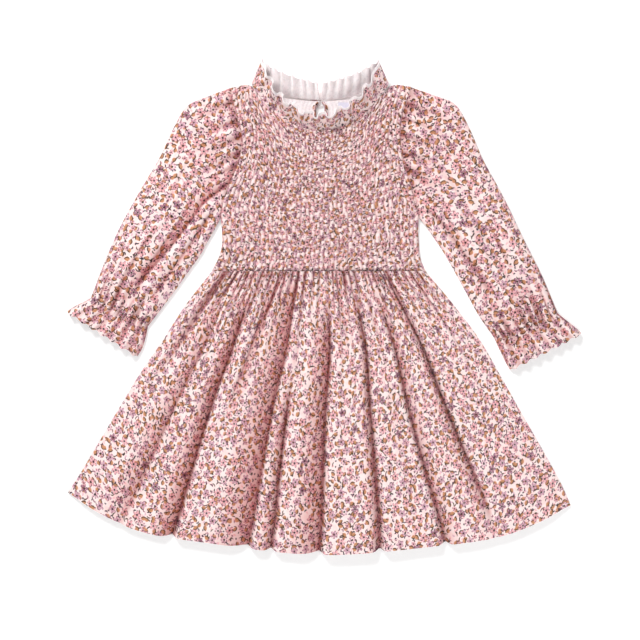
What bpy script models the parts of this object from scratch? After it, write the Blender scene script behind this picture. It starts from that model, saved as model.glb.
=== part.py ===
"""A child's long-sleeved smocked dress, laid flat on its back with the sleeves out.

The front lies on the back, neck towards +Y and face up. Every cloth piece is a thin closed wall
made through sections. Sizes below are in millimetres, measured from the waist's middle line,
and metres() turns them into the scene's units.
"""

import math
from collections import namedtuple

import bmesh
import bpy
from mathutils import Vector

MM = 0.001
CENTRE_LINE_X = -3.5  # the dress's middle line, which sets the laid outline's centre on the origin
CLOTH = 1.2  # wall of the cloth with its seam allowances
SEAM_GAP = 0.3  # between sewn pieces
BACK_TOP = CLOTH  # the back panels lie on the table with their upper side here

WAIST_Y = 42.8
UNDERARM_Y = 103.2
SHOULDER_Y = 251.4
SMOCK_RIDGES = 42
SMOCK_ROWS = 20
SMOCK_RELIEF = 1.7
FRONT_INSIDE_Z = 3.6  # the front bodice's plain inside, over the back
FRONT_EDGE_Z = BACK_TOP + SEAM_GAP  # the same inside where it comes down to a side seam
EDGE_ROLL = 9.0  # width over which the front rolls down to the side seams

Side = namedtuple("Side", "y left right")
BODICE_SIDES = [
    Side(42.8, -124.3, 118.6),
    Side(56.0, -117.4, 112.9),
    Side(70.0, -113.2, 111.2),
    Side(88.0, -112.9, 110.3),
    Side(103.2, -114.0, 110.6),
    Side(117.0, -112.6, 108.3),
    Side(137.0, -106.4, 102.6),
    Side(159.0, -97.0, 95.8),
    Side(180.0, -91.0, 91.2),
    Side(197.0, -90.0, 90.0),
    Side(222.0, -97.0, 92.5),
    Side(240.0, -101.0, 99.0),
    Side(256.0, -102.6, 102.6),
]

# Where the neck seam leaves the shoulder line, from 0 at the left armhole to 1 at the right one.
Neckline = namedtuple("Neckline", "across front back")
NECKLINE = [
    Neckline(0.00, 251.4, 251.4),
    Neckline(0.10, 254.0, 254.0),
    Neckline(0.15, 244.0, 251.0),
    Neckline(0.20, 230.0, 246.5),
    Neckline(0.28, 216.0, 241.0),
    Neckline(0.38, 206.5, 237.5),
    Neckline(0.50, 202.8, 236.0),
    Neckline(0.62, 206.5, 237.5),
    Neckline(0.72, 216.0, 241.0),
    Neckline(0.80, 230.0, 246.5),
    Neckline(0.85, 244.0, 251.0),
    Neckline(0.90, 254.0, 254.0),
    Neckline(1.00, 252.5, 252.5),
]
ROW_BOW = 1.6  # how fast the smocked rows straighten below the neck

SkirtSide = namedtuple("SkirtSide", "down left right")
SKIRT_SIDES = [
    SkirtSide(0.00, -124.3, 118.6),
    SkirtSide(0.15, -154.0, 152.0),
    SkirtSide(0.30, -178.5, 181.5),
    SkirtSide(0.45, -204.5, 204.5),
    SkirtSide(0.60, -227.5, 227.0),
    SkirtSide(0.75, -250.0, 250.0),
    SkirtSide(0.90, -272.5, 272.0),
    SkirtSide(1.00, -288.4, 284.0),
]
HemLine = namedtuple("HemLine", "across y")
HEM_LINE = [
    HemLine(0.00, -210.0),
    HemLine(0.13, -248.0),
    HemLine(0.27, -263.0),
    HemLine(0.50, -277.0),
    HemLine(0.72, -268.0),
    HemLine(0.87, -255.0),
    HemLine(1.00, -224.0),
]

# How high the skirt's front stands at each place across it, between its valleys.
Crown = namedtuple("Crown", "across height")
SKIRT_CROWN = [
    Crown(0.00, 0.0),
    Crown(0.03, 3.6),
    Crown(0.09, 5.6),
    Crown(0.16, 6.8),
    Crown(0.28, 8.8),
    Crown(0.44, 9.2),
    Crown(0.56, 11.0),
    Crown(0.68, 9.6),
    Crown(0.79, 8.2),
    Crown(0.88, 6.2),
    Crown(0.96, 3.8),
    Crown(1.00, 0.0),
]
# The valleys between its folds: the place across at the waist, half way down and at the hem, how
# far the two sides reach, the stretch down that it takes and its depth, all shares of the whole.
Valley = namedtuple("Valley", "waist middle hem left right first last depth")
SKIRT_VALLEYS = [
    Valley(0.085, 0.045, 0.035, 0.022, 0.016, -0.20, 0.50, 0.50),
    Valley(0.135, 0.118, 0.105, 0.034, 0.018, 0.05, 1.10, 0.60),
    Valley(0.225, 0.208, 0.208, 0.034, 0.016, 0.02, 1.30, 0.95),
    Valley(0.300, 0.256, 0.245, 0.016, 0.026, -0.20, 0.62, 0.60),
    Valley(0.410, 0.370, 0.358, 0.060, 0.016, -0.20, 1.30, 0.90),
    Valley(0.440, 0.410, 0.404, 0.022, 0.016, 0.35, 1.30, 0.80),
    Valley(0.545, 0.512, 0.500, 0.050, 0.018, 0.05, 1.30, 0.92),
    Valley(0.652, 0.632, 0.620, 0.020, 0.018, 0.00, 1.30, 0.92),
    Valley(0.735, 0.734, 0.750, 0.018, 0.022, 0.02, 1.30, 0.92),
    Valley(0.803, 0.832, 0.852, 0.022, 0.016, -0.20, 1.05, 1.00),
]
SKIRT_COLUMNS = 96
VALLEY_START = 0.20  # share of the skirt's length over which a valley deepens
VALLEY_END = 0.25
SKIRT_GATHERS = 32
GATHER_RELIEF = 2.0
GATHER_REACH = 0.17  # share of the skirt's length over which the gathers fade
FOLD_AT_WAIST = 0.40  # share of a fold's height at the waist
HEM_DROP = 5.5  # how much lower the hem hangs on a fold

SleeveSection = namedtuple("SleeveSection", "along outer_x outer_y inner_x inner_y")
LEFT_SLEEVE = [
    SleeveSection(0.000, -102.6, 251.4, -114.0, 103.2),
    SleeveSection(0.110, -128.0, 242.0, -121.0, 90.0),
    SleeveSection(0.210, -152.0, 231.0, -128.5, 77.5),
    SleeveSection(0.320, -166.5, 209.0, -138.0, 60.0),
    SleeveSection(0.460, -184.5, 171.0, -151.5, 41.5),
    SleeveSection(0.600, -207.0, 133.0, -165.5, 21.5),
    SleeveSection(0.740, -229.5, 92.0, -179.5, 3.0),
    SleeveSection(0.880, -246.5, 53.0, -190.5, -11.5),
    SleeveSection(1.000, -262.2, 12.0, -197.2, -20.0),
]
RIGHT_SLEEVE = [
    SleeveSection(0.000, 102.6, 252.0, 110.6, 103.2),
    SleeveSection(0.110, 128.0, 243.0, 118.5, 94.0),
    SleeveSection(0.210, 152.0, 233.0, 127.0, 82.0),
    SleeveSection(0.320, 167.0, 209.0, 138.5, 65.0),
    SleeveSection(0.460, 184.5, 169.0, 152.0, 41.5),
    SleeveSection(0.600, 208.0, 126.0, 165.5, 17.0),
    SleeveSection(0.740, 229.5, 81.0, 177.5, -5.0),
    SleeveSection(0.880, 251.5, 37.0, 188.5, -21.5),
    SleeveSection(1.000, 269.0, -5.0, 197.0, -33.6),
]
LEFT_CUFF = [
    SleeveSection(0.00, -262.2, 12.0, -197.2, -20.0),
    SleeveSection(0.35, -271.0, 7.0, -199.5, -31.0),
    SleeveSection(0.70, -281.5, 1.5, -203.5, -44.5),
    SleeveSection(1.00, -289.5, -4.0, -209.5, -55.5),
]
RIGHT_CUFF = [
    SleeveSection(0.00, 269.0, -5.0, 197.0, -33.6),
    SleeveSection(0.35, 278.5, -13.0, 202.5, -46.0),
    SleeveSection(0.70, 289.0, -21.5, 209.0, -59.5),
    SleeveSection(1.00, 296.5, -28.5, 215.0, -70.5),
]
SLEEVE_EDGE_Z = 3.0  # height of the sleeve's folded edges
SLEEVE_FLAT = 7.2  # top of the upper layer between folds
SLEEVE_WALL_SHARE = 8.0  # squareness of the flattened tube
SLEEVE_TOP_SHARE = 7 / 11  # share of the ring's columns that lie in the upper layer
SLOPE_SPARE = 1.12  # a wall on a slope is this much thicker straight down

# Long folds in a sleeve's upper layer: place across it at both ends, half width, height and start.
SleeveFold = namedtuple("SleeveFold", "start end half_width height first")
LEFT_FOLDS = [
    SleeveFold(0.38, 0.26, 0.34, 2.6, 0.00),
    SleeveFold(0.83, 0.66, 0.10, 4.0, 0.05),
    SleeveFold(0.95, 0.86, 0.08, 2.4, 0.10),
]
RIGHT_FOLDS = [
    SleeveFold(0.34, 0.24, 0.26, 2.2, 0.00),
    SleeveFold(0.66, 0.52, 0.20, 2.6, 0.10),
    SleeveFold(0.95, 0.87, 0.10, 2.8, 0.08),
]
HEAD_GATHERS = 8
HEAD_RELIEF = 1.8
HEAD_REACH = 0.20  # share of the sleeve's length over which the head gathers fade
CUFF_GATHERS = 8
CUFF_RELIEF = 1.4
CUFF_REACH = 0.14
CUFF_WAVES = 7
CUFF_WAVE_RELIEF = 3.0
CUFF_FLARE = 0.8
CUFF_HEM_SWING = 2.4

# The standing neck ruffle, from the middle of the back round the left side and on to the right.
RuffleStation = namedtuple("RuffleStation", "along x y z lean_x lean_y lean_z height")
NECK_RUFFLE = [
    RuffleStation(0.000, -2.2, 237.3, 4.4, -0.10, 0.88, 0.46, 21.0),
    RuffleStation(0.075, -24.0, 239.2, 4.4, -0.06, 0.88, 0.46, 25.0),
    RuffleStation(0.150, -48.0, 245.4, 4.6, 0.00, 0.88, 0.46, 27.0),
    RuffleStation(0.205, -67.5, 254.4, 5.6, 0.16, 0.90, 0.40, 26.5),
    RuffleStation(0.230, -76.5, 258.8, 7.6, 0.34, 0.90, 0.28, 27.0),
    RuffleStation(0.250, -77.5, 255.8, 10.2, 0.46, 0.80, 0.38, 27.0),
    RuffleStation(0.285, -70.4, 245.6, 8.6, 0.42, 0.70, 0.58, 26.0),
    RuffleStation(0.330, -58.0, 230.6, 6.6, 0.24, 0.70, 0.67, 25.0),
    RuffleStation(0.400, -36.0, 213.8, 5.0, 0.10, 0.68, 0.73, 24.5),
    RuffleStation(0.500, -2.0, 204.2, 4.6, 0.00, 0.58, 0.81, 24.0),
    RuffleStation(0.600, 32.0, 213.8, 5.0, -0.10, 0.68, 0.73, 24.5),
    RuffleStation(0.670, 54.5, 230.6, 6.6, -0.24, 0.70, 0.67, 25.0),
    RuffleStation(0.715, 67.6, 245.6, 8.6, -0.42, 0.70, 0.58, 25.0),
    RuffleStation(0.750, 75.0, 256.0, 10.2, -0.46, 0.76, 0.42, 25.0),
    RuffleStation(0.770, 74.0, 259.0, 7.6, -0.34, 0.86, 0.30, 25.0),
    RuffleStation(0.795, 65.0, 254.6, 5.6, -0.16, 0.90, 0.40, 26.0),
    RuffleStation(0.850, 45.5, 245.4, 4.6, 0.00, 0.88, 0.46, 27.0),
    RuffleStation(0.925, 21.5, 239.2, 4.4, 0.06, 0.88, 0.46, 25.0),
    RuffleStation(1.000, -0.3, 237.3, 4.4, 0.10, 0.88, 0.46, 21.0),
]
RUFFLE_WAVES = 27
RUFFLE_WAVE_AT_TOP = 3.0
RUFFLE_WAVE_AT_BASE = 0.3
RUFFLE_CALM = 0.15  # share of the wave left where the ruffle folds at the shoulders
RUFFLE_CLOTH = 1.0

KEYHOLE_X = -1.2
KEYHOLE_TOP_Y = 240.0
KEYHOLE_WIDE_Y = 222.0
KEYHOLE_END_Y = 186.0
KEYHOLE_HALF_WIDTH = 4.6
KEYHOLE_SLIT = 0.8  # half width of the slit at the neck seam
NECK_LIFT = 2.7  # the back's neck edge rides this high on its button
NECK_LIFT_REACH = 36.0
NECK_LIFT_LEVEL = 20.0  # half width over which it is level
NECK_LIFT_SLOPE = 28.0
LIFT_STEP = 4.0
BACK_ROW_SPREAD = 1.7
BUTTON_RADIUS = 4.8
BUTTON_THICK = 2.2
BUTTON_ROUNDING = 0.5
BUTTON_OFFSET = 6.4  # the button's middle from the keyhole's middle line
BUTTON_Y = 233.5
LOOP_RADIUS = 0.5
LOOP_ENDS = 2.4  # how far the loop's two ends lie to each side of the button's middle
BINDING_WIDTH = 3.6
BINDING_THICK = 1.0
LABEL_X = 27.0
LABEL_Y = 228.5
LABEL_WIDTH = 15.0
LABEL_LONG = 12.0

BLUSH_PRINT = (0.84, 0.60, 0.60)
PALE_REVERSE = (0.90, 0.82, 0.82)
LABEL_LILAC = (0.78, 0.74, 0.84)
BUTTON_PINK = (0.86, 0.66, 0.68)


def metres(point):
    """A point in millimetres from the dress's middle line, in the scene's metres."""
    return Vector((point[0] + CENTRE_LINE_X, point[1], point[2])) * MM


def smooth(t):
    """A soft step from 0 to 1."""
    t = min(1.0, max(0.0, t))
    return t * t * (3 - 2 * t)


def bump(x, middle, half_width):
    """A rounded ridge, 1 at its middle and 0 a half width away."""
    away = min(1.0, abs(x - middle) / half_width)
    return 0.5 + 0.5 * math.cos(math.pi * away)


def read(table, place):
    """A table's other columns at a place in its first, on a smooth curve through its rows."""
    k = 0
    while k < len(table) - 2 and place > table[k + 1][0]:
        k += 1
    before, a, b, after = table[max(k - 1, 0)], table[k], table[k + 1], table[min(k + 2, len(table) - 1)]
    step = b[0] - a[0]
    t = (place - a[0]) / step
    found = []
    for c in range(1, len(a)):
        leave = (b[c] - before[c]) / (b[0] - before[0]) * step
        arrive = (after[c] - a[c]) / (after[0] - a[0]) * step
        value = a[c] * (1 + 2 * t) * (1 - t) ** 2 + leave * t * (1 - t) ** 2
        value += b[c] * t * t * (3 - 2 * t) - arrive * t * t * (1 - t)
        found.append(value)
    return found


def new_material(name, colour, roughness):
    material = bpy.data.materials.new(name)
    material.use_nodes = True
    surface = material.node_tree.nodes["Principled BSDF"]
    surface.inputs["Base Color"].default_value = (*colour, 1)
    surface.inputs["Roughness"].default_value = roughness
    surface.inputs["Metallic"].default_value = 0.0
    return material


def add_object(name, mesh, material):
    mesh.materials.append(material)
    obj = bpy.data.objects.new(name, mesh)
    dress.objects.link(obj)
    mesh.shade_smooth()
    mesh.set_sharp_from_angle(angle=math.radians(50))
    return obj


def rim(bm, outer_edge, inner_edge, share):
    """Closes a wall's edge, where each inner step meets a share of the outer steps."""
    for m in range(len(inner_edge) - 1):
        a, b = inner_edge[m], inner_edge[m + 1]
        half = share * m + share // 2
        for i in range(share * m, half):
            bm.faces.new((a, outer_edge[i], outer_edge[i + 1]))
        bm.faces.new((a, outer_edge[half], b))
        for i in range(half, share * (m + 1)):
            bm.faces.new((b, outer_edge[i], outer_edge[i + 1]))


def cloth_wall(name, outer, inner, columns, rows, material, share=1, ring=False):
    """A closed wall of cloth between an outer and an inner face.

    outer and inner give a point for a place from 0 to 1 across and down. The inner face has one
    column for each share of the outer ones. A ring joins its last column to its first.
    """
    bm = bmesh.new()
    faces_of = []
    for place, step in ((outer, 1), (inner, share)):
        count = columns if ring else columns + 1
        lines = []
        for j in range(rows + 1):
            line = [bm.verts.new(metres(place(i / columns, j / rows))) for i in range(0, count, step)]
            lines.append(line + line[:1] if ring else line)
        for j in range(rows):
            for i in range(len(lines[j]) - 1):
                a, b = lines[j], lines[j + 1]
                bm.faces.new((a[i], a[i + 1], b[i + 1], b[i]))
        faces_of.append(lines)
    out_lines, in_lines = faces_of
    for j in (0, rows):
        rim(bm, out_lines[j], in_lines[j], share)
    if not ring:
        for end in (0, -1):
            rim(bm, [line[end] for line in out_lines], [line[end] for line in in_lines], 1)
    bmesh.ops.recalc_face_normals(bm, faces=bm.faces)
    if bm.calc_volume(signed=True) < 0:
        bmesh.ops.reverse_faces(bm, faces=bm.faces)
    mesh = bpy.data.meshes.new(name)
    bm.to_mesh(mesh)
    bm.free()
    return add_object(name, mesh, material)


def facing(surface, across, down):
    """The surface's unit normal, from steps to each side."""
    step = 0.002
    a, b = max(0.0, across - step), min(1.0, across + step)
    c, d = max(0.0, down - step), min(1.0, down + step)
    over = Vector(surface(b, down)) - Vector(surface(a, down))
    along = Vector(surface(across, d)) - Vector(surface(across, c))
    return over.cross(along).normalized()


def under_wall(surface, lowest, most=2.6):
    """The inside of a wall whose outside is a surface seen from above, straight below it."""

    def inside(across, down):
        x, y, z = surface(across, down)
        upright = max(0.3, abs(facing(surface, across, down).z))
        thick = min(most, CLOTH / upright)
        return x, y, max(lowest, z - thick)

    return inside


# Bodice


def bodice_place(across, down, part):
    """The plan point of the front or back bodice, from 0 to 1 across and down."""
    top = read(NECKLINE, across)[0 if part == "front" else 1]
    straight = WAIST_Y + (SHOULDER_Y - WAIST_Y) * (1 - down)
    y = straight + (top - SHOULDER_Y) * (1 - down) ** ROW_BOW
    left, right = read(BODICE_SIDES, y)
    return left + (right - left) * across, y


def front_inside(across, down):
    """The front bodice's plain inside: level over the back, and down to it at the seams."""
    x, y = bodice_place(across, down, "front")
    left, right = read(BODICE_SIDES, y)
    to_side = min(x - left, right - x)
    below_arm = smooth((UNDERARM_Y - y) / 20.0 + 0.3)
    drop = below_arm * (1 - smooth(to_side / EDGE_ROLL))
    if abs(across - 0.5) > 0.37:
        drop = max(drop, 1 - smooth((down * (SHOULDER_Y - WAIST_Y)) / EDGE_ROLL))
    return x, y, FRONT_INSIDE_Z - (FRONT_INSIDE_Z - FRONT_EDGE_Z) * drop


def front_outside(across, down):
    """The outside, which the shirring gathers into ridges down its length."""
    x, y, z = front_inside(across, down)
    ridge = 0.5 - 0.5 * math.cos(2 * math.pi * SMOCK_RIDGES * across)
    return x, y, z + CLOTH + SMOCK_RELIEF * ridge


def back_lift(x, y):
    """How high the back's neck edge rides over the button under it."""
    near_neck = smooth((y - (KEYHOLE_TOP_Y - NECK_LIFT_REACH)) / (NECK_LIFT_REACH * 0.45))
    return NECK_LIFT * near_neck * (1 - smooth((abs(x - KEYHOLE_X) - NECK_LIFT_LEVEL) / NECK_LIFT_SLOPE))


def back_surface(height):
    """The back lies flat but for its neck edge, towards which its rows lie closer together."""

    def place(across, step):
        x, y = bodice_place(across, step**BACK_ROW_SPREAD, "back")
        return x, y, height + back_lift(x, y)

    return place


def over_back(x, y):
    """The height for what lies on the back, clear of its flat faces on each side."""
    nearby = [(x + a, y + b) for a in (-LIFT_STEP, 0, LIFT_STEP) for b in (-LIFT_STEP, 0, LIFT_STEP)]
    return CLOTH + SEAM_GAP + max(back_lift(*place) for place in nearby)


def keyhole_half_width(y):
    """The back slit, narrow at the neck seam and rounded at its lower end."""
    if y > KEYHOLE_WIDE_Y:
        opened = smooth((KEYHOLE_TOP_Y - 4.0 - y) / (KEYHOLE_TOP_Y - 4.0 - KEYHOLE_WIDE_Y))
        return KEYHOLE_SLIT + (KEYHOLE_HALF_WIDTH - KEYHOLE_SLIT) * opened
    round_end = max(0.0, KEYHOLE_END_Y + KEYHOLE_HALF_WIDTH - y)
    return math.sqrt(max(0.0, KEYHOLE_HALF_WIDTH**2 - round_end**2))


def keyhole_cutter():
    steps = 22
    bm = bmesh.new()
    ys = [KEYHOLE_TOP_Y + 6 + (KEYHOLE_END_Y - KEYHOLE_TOP_Y - 6) * i / steps for i in range(steps + 1)]
    right = [(KEYHOLE_X + keyhole_half_width(y), y) for y in ys]
    left = [(KEYHOLE_X - keyhole_half_width(y), y) for y in reversed(ys[:-1])]
    outline = bm.faces.new([bm.verts.new(metres((x, y, -3.0))) for x, y in right + left])
    lifted = bmesh.ops.extrude_face_region(bm, geom=[outline])
    top = [v for v in lifted["geom"] if isinstance(v, bmesh.types.BMVert)]
    bmesh.ops.translate(bm, verts=top, vec=Vector((0, 0, 12 * MM)))
    bmesh.ops.recalc_face_normals(bm, faces=bm.faces)
    mesh = bpy.data.meshes.new("keyhole_cutter")
    bm.to_mesh(mesh)
    bm.free()
    cutter = bpy.data.objects.new("keyhole_cutter", mesh)
    cutter.hide_render = True
    cutter.display_type = "WIRE"
    cutters.objects.link(cutter)
    return cutter


def build_bodice():
    columns = SMOCK_RIDGES * 2
    cloth_wall("front_bodice", front_outside, front_inside, columns, SMOCK_ROWS, printed, share=4)
    back = cloth_wall("back_bodice", back_surface(CLOTH), back_surface(0.0), 24, 20, printed)
    cut = back.modifiers.new("keyhole", "BOOLEAN")
    cut.object = keyhole_cutter()
    cut.operation = "DIFFERENCE"
    cut.solver = "EXACT"


# Skirt


def valley_place(valley, down):
    """A valley's place across, on the curve through its three places."""
    waist = valley.waist * (1 - 2 * down) * (1 - down)
    return waist + valley.middle * 4 * down * (1 - down) + valley.hem * down * (2 * down - 1)


def skirt_across(column, down):
    """The place across for a share of the columns, which run down along the valleys."""
    before_share, before_place = 0.0, 0.0
    for valley in [*SKIRT_VALLEYS, None]:
        share, place = 1.0, 1.0
        if valley:
            share = round(SKIRT_COLUMNS * valley_place(valley, 0.5)) / SKIRT_COLUMNS
            place = valley_place(valley, down)
        if column <= share:
            break
        before_share, before_place = share, place
    return before_place + (place - before_place) * (column - before_share) / (share - before_share)


def skirt_hollow(across, down):
    """How deep the valleys cut into the skirt's crown, from 0 to 1."""
    kept = 1.0
    for valley in SKIRT_VALLEYS:
        away = across - valley_place(valley, down)
        wall = max(0.0, 1 - abs(away) / (valley.right if away > 0 else valley.left)) ** 2
        begun = smooth((down - valley.first) / VALLEY_START) * smooth((valley.last - down) / VALLEY_END)
        kept *= 1 - valley.depth * wall * begun
    return 1 - kept


def skirt_place(across, down, drop):
    left, right = read(SKIRT_SIDES, down)
    hem = read(HEM_LINE, across)[0] - drop * smooth((down - 0.6) / 0.4)
    top = WAIST_Y - SEAM_GAP
    return left + (right - left) * across, top + (hem - top) * down


def skirt_front(column, down):
    across = skirt_across(column, down)
    hollow = skirt_hollow(across, down)
    grown = FOLD_AT_WAIST + (1 - FOLD_AT_WAIST) * smooth(down / 0.45)
    height = max(0.0, read(SKIRT_CROWN, across)[0]) * grown * (1 - hollow)
    near_side = smooth(across / 0.05) * smooth((1 - across) / 0.05)
    x, y = skirt_place(across, down, HEM_DROP * (0.5 - hollow) * near_side)
    fade = max(0.0, 1 - down / (3 * GATHER_REACH)) * math.exp(-down / GATHER_REACH)
    gather = GATHER_RELIEF * fade * (0.5 - 0.5 * math.cos(2 * math.pi * SKIRT_GATHERS * column))
    edge = smooth(across / 0.03) * smooth((1 - across) / 0.03)
    return x, y, BACK_TOP + SEAM_GAP + CLOTH + height + gather * edge


def skirt_down(step):
    """Rows lie closer together near the waist, where the gathers are."""
    return step**1.35


def build_skirt():
    def front(column, step):
        return skirt_front(column, skirt_down(step))

    inside = under_wall(front, BACK_TOP + SEAM_GAP)
    cloth_wall("front_skirt", front, inside, SKIRT_COLUMNS, 10, printed)

    def back_at(z):
        return lambda across, down: (*skirt_place(across, down, 0.0), z)

    cloth_wall("back_skirt", back_at(CLOTH), back_at(0.0), 40, 8, printed)


# Sleeves and cuffs


def sleeve_plan(sections, across, along, armhole):
    """The plan point of a flattened sleeve, from its outer to its inner edge."""
    outer_x, outer_y, inner_x, inner_y = read(sections, along)
    x = outer_x + (inner_x - outer_x) * across
    y = outer_y + (inner_y - outer_y) * across
    if armhole:
        side = 1 if outer_x > 0 else -1
        row = read(sections, 0.0)
        seam_y = row[1] + (row[3] - row[1]) * across
        seam_x = read(BODICE_SIDES, seam_y)[1 if side > 0 else 0] + side * (SEAM_GAP + 0.3)
        fade = (1 - min(1.0, along / 0.36)) ** 2
        x += (seam_x - (row[0] + (row[2] - row[0]) * across)) * fade
    return x, y


def tube_wall(name, plan, upper, gathers, columns, rows):
    """A flattened tube: the ring runs over the top from its outer edge, and back underneath.

    upper is the height of the top layer, and gathers what stands above it over a plain inside.
    """

    def ring_place(turn):
        on_top = turn < SLEEVE_TOP_SHARE
        share = turn / SLEEVE_TOP_SHARE if on_top else (1 - turn) / (1 - SLEEVE_TOP_SHARE)
        return 0.5 - 0.5 * math.cos(math.pi * share), on_top

    def square(across):
        return math.sqrt(max(0.0, 1 - abs(2 * across - 1) ** SLEEVE_WALL_SHARE))

    def outside(turn, along):
        across, on_top = ring_place(turn)
        x, y = plan(across, along)
        reach = upper(across, along) + gathers(across, along) if on_top else 0.0
        return x, y, SLEEVE_EDGE_Z + (reach - SLEEVE_EDGE_Z) * square(across)

    def inside(turn, along):
        across, on_top = ring_place(turn)
        inset = CLOTH / (Vector(plan(1.0, along)) - Vector(plan(0.0, along))).length
        further_in = across + inset * ((1 - across) ** 8 - across**8)
        x, y = plan(further_in, along)
        reach = upper(further_in, along) - CLOTH * SLOPE_SPARE if on_top else CLOTH
        return x, y, SLEEVE_EDGE_Z + (reach - SLEEVE_EDGE_Z) * square(across)

    cloth_wall(name, outside, inside, columns, rows, printed, ring=True)


def sleeve_folds(folds, across, along):
    """The upper layer's height with its long folds."""
    z = SLEEVE_FLAT
    for fold in folds:
        middle = fold.start + (fold.end - fold.start) * along
        grown = smooth((along - fold.first) / 0.2 + 0.2) if fold.first else 1.0
        z += fold.height * bump(across, middle, fold.half_width) * grown
    return z


def sleeve_gathers(across, along):
    """What the gathers at the sleeve's head and at its elastic stand above the folds."""
    head = math.exp(-((along / HEAD_REACH) ** 2)) * smooth((0.86 - across) / 0.2)
    cuff = math.exp(-(((1 - along) / CUFF_REACH) ** 2))
    rise = HEAD_RELIEF * head * (0.5 - 0.5 * math.cos(2 * math.pi * HEAD_GATHERS * across))
    return rise + CUFF_RELIEF * cuff * (0.5 - 0.5 * math.cos(2 * math.pi * CUFF_GATHERS * across))


def build_sleeve(side, sections, folds):
    def plan(across, along):
        return sleeve_plan(sections, across, along, True)

    def upper(across, along):
        return sleeve_folds(folds, across, along)

    tube_wall(f"{side}_sleeve", plan, upper, sleeve_gathers, 44, 13)


def build_cuff(side, sections, folds):
    """The ruffle below the elastic: it carries the sleeve's folds on and flares into waves."""
    first = sections[0]
    width = math.hypot(first.inner_x - first.outer_x, first.inner_y - first.outer_y)
    turned = 1 if first.outer_x < 0 else -1
    down_x = turned * (first.inner_y - first.outer_y) / width
    down_y = -turned * (first.inner_x - first.outer_x) / width

    def wave(across):
        return 0.5 - 0.5 * math.cos(2 * math.pi * CUFF_WAVES * across)

    def plan(across, along):
        x, y = sleeve_plan(sections, across, along, False)
        swing = CUFF_HEM_SWING * (wave(across) - 0.5) * along + SEAM_GAP * (1 - along)
        return x + down_x * swing, y + down_y * swing

    def upper(across, along):
        start = sleeve_folds(folds, across, 1.0)
        end = SLEEVE_FLAT + CUFF_FLARE + CUFF_WAVE_RELIEF * wave(across)
        return start + (end - start) * smooth(along)

    def gathers(across, along):
        return sleeve_gathers(across, 1.0) * (1 - smooth(along / 0.7))

    tube_wall(f"{side}_cuff_ruffle", plan, upper, gathers, 44, 3)


# Neck ruffle and back fastening


def ruffle_middle(along, up):
    """The middle of the ruffle's cloth, waving more towards its free edge."""
    x, y, z, lean_x, lean_y, lean_z, height = read(NECK_RUFFLE, along)
    ahead = read(NECK_RUFFLE, min(1.0, along + 0.004))
    behind = read(NECK_RUFFLE, max(0.0, along - 0.004))
    lean = Vector((lean_x, lean_y, lean_z)).normalized()
    run = Vector(ahead[:3]) - Vector(behind[:3])
    out = run.cross(lean).normalized()
    swing = RUFFLE_WAVE_AT_BASE + (RUFFLE_WAVE_AT_TOP - RUFFLE_WAVE_AT_BASE) * up**1.3
    turn = abs(abs(along - 0.5) - 0.26)
    calm = RUFFLE_CALM + (1 - RUFFLE_CALM) * smooth(turn / 0.06)
    wave = swing * calm * math.sin(2 * math.pi * RUFFLE_WAVES * along)
    lift = 1 + 0.05 * math.cos(2 * math.pi * RUFFLE_WAVES * along)
    return Vector((x, y, z)) + lean * height * up * lift + out * wave


def build_neck_ruffle():
    def side(half):
        def place(along, up):
            normal = facing(ruffle_middle, along, up)
            return ruffle_middle(along, up) + normal * half

        return place

    half = RUFFLE_CLOTH / 2
    cloth_wall("neck_ruffle", side(half), side(-half), RUFFLE_WAVES * 4, 3, printed, share=1)


def keyhole_ring(turn, out):
    """A point beside the slit: down its left edge, round its end and up its right edge."""
    end = KEYHOLE_END_Y + KEYHOLE_HALF_WIDTH
    top = KEYHOLE_TOP_Y - 5.0
    side = -1 if turn < 0.5 else 1
    share = min(turn, 1 - turn) / 0.38
    if share < 1:
        y = top + (end - top) * share
        return KEYHOLE_X + side * (keyhole_half_width(y) + out), y
    angle = math.pi / 2 * (share - 1) / (0.5 / 0.38 - 1)
    reach = KEYHOLE_HALF_WIDTH + out
    return KEYHOLE_X + side * reach * math.cos(angle), end - reach * math.sin(angle)


def build_binding():
    """The strip that faces the slit's edge, lying on the inside of the back."""

    def side(height):
        def place(turn, out):
            x, y = keyhole_ring(turn, 0.4 + BINDING_WIDTH * out)
            return x, y, over_back(x, y) + height

        return place

    cloth_wall("keyhole_binding", side(BINDING_THICK), side(0.0), 36, 1, printed)


def build_label():
    def side(height):
        def place(across, down):
            x, y = LABEL_X + LABEL_WIDTH * (across - 0.5), LABEL_Y + LABEL_LONG * (0.5 - down)
            return x, y, over_back(x, y) + height

        return place

    cloth_wall("neck_label", side(1.0), side(0.0), 4, 3, label_cloth)


def build_button():
    """A sew-through button under the back's neck edge, in the space that it lifts."""
    bm = bmesh.new()
    bmesh.ops.create_cone(
        bm,
        cap_ends=True,
        segments=28,
        radius1=BUTTON_RADIUS * MM,
        radius2=BUTTON_RADIUS * MM,
        depth=BUTTON_THICK * MM,
    )
    middle = metres((KEYHOLE_X - BUTTON_OFFSET, BUTTON_Y, BUTTON_THICK / 2))
    bmesh.ops.translate(bm, verts=bm.verts, vec=middle)
    mesh = bpy.data.meshes.new("neck_button")
    bm.to_mesh(mesh)
    bm.free()
    button = add_object("neck_button", mesh, button_plastic)
    rounded = button.modifiers.new("rounded_edge", "BEVEL")
    rounded.width = BUTTON_ROUNDING * MM
    rounded.segments = 2


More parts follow.
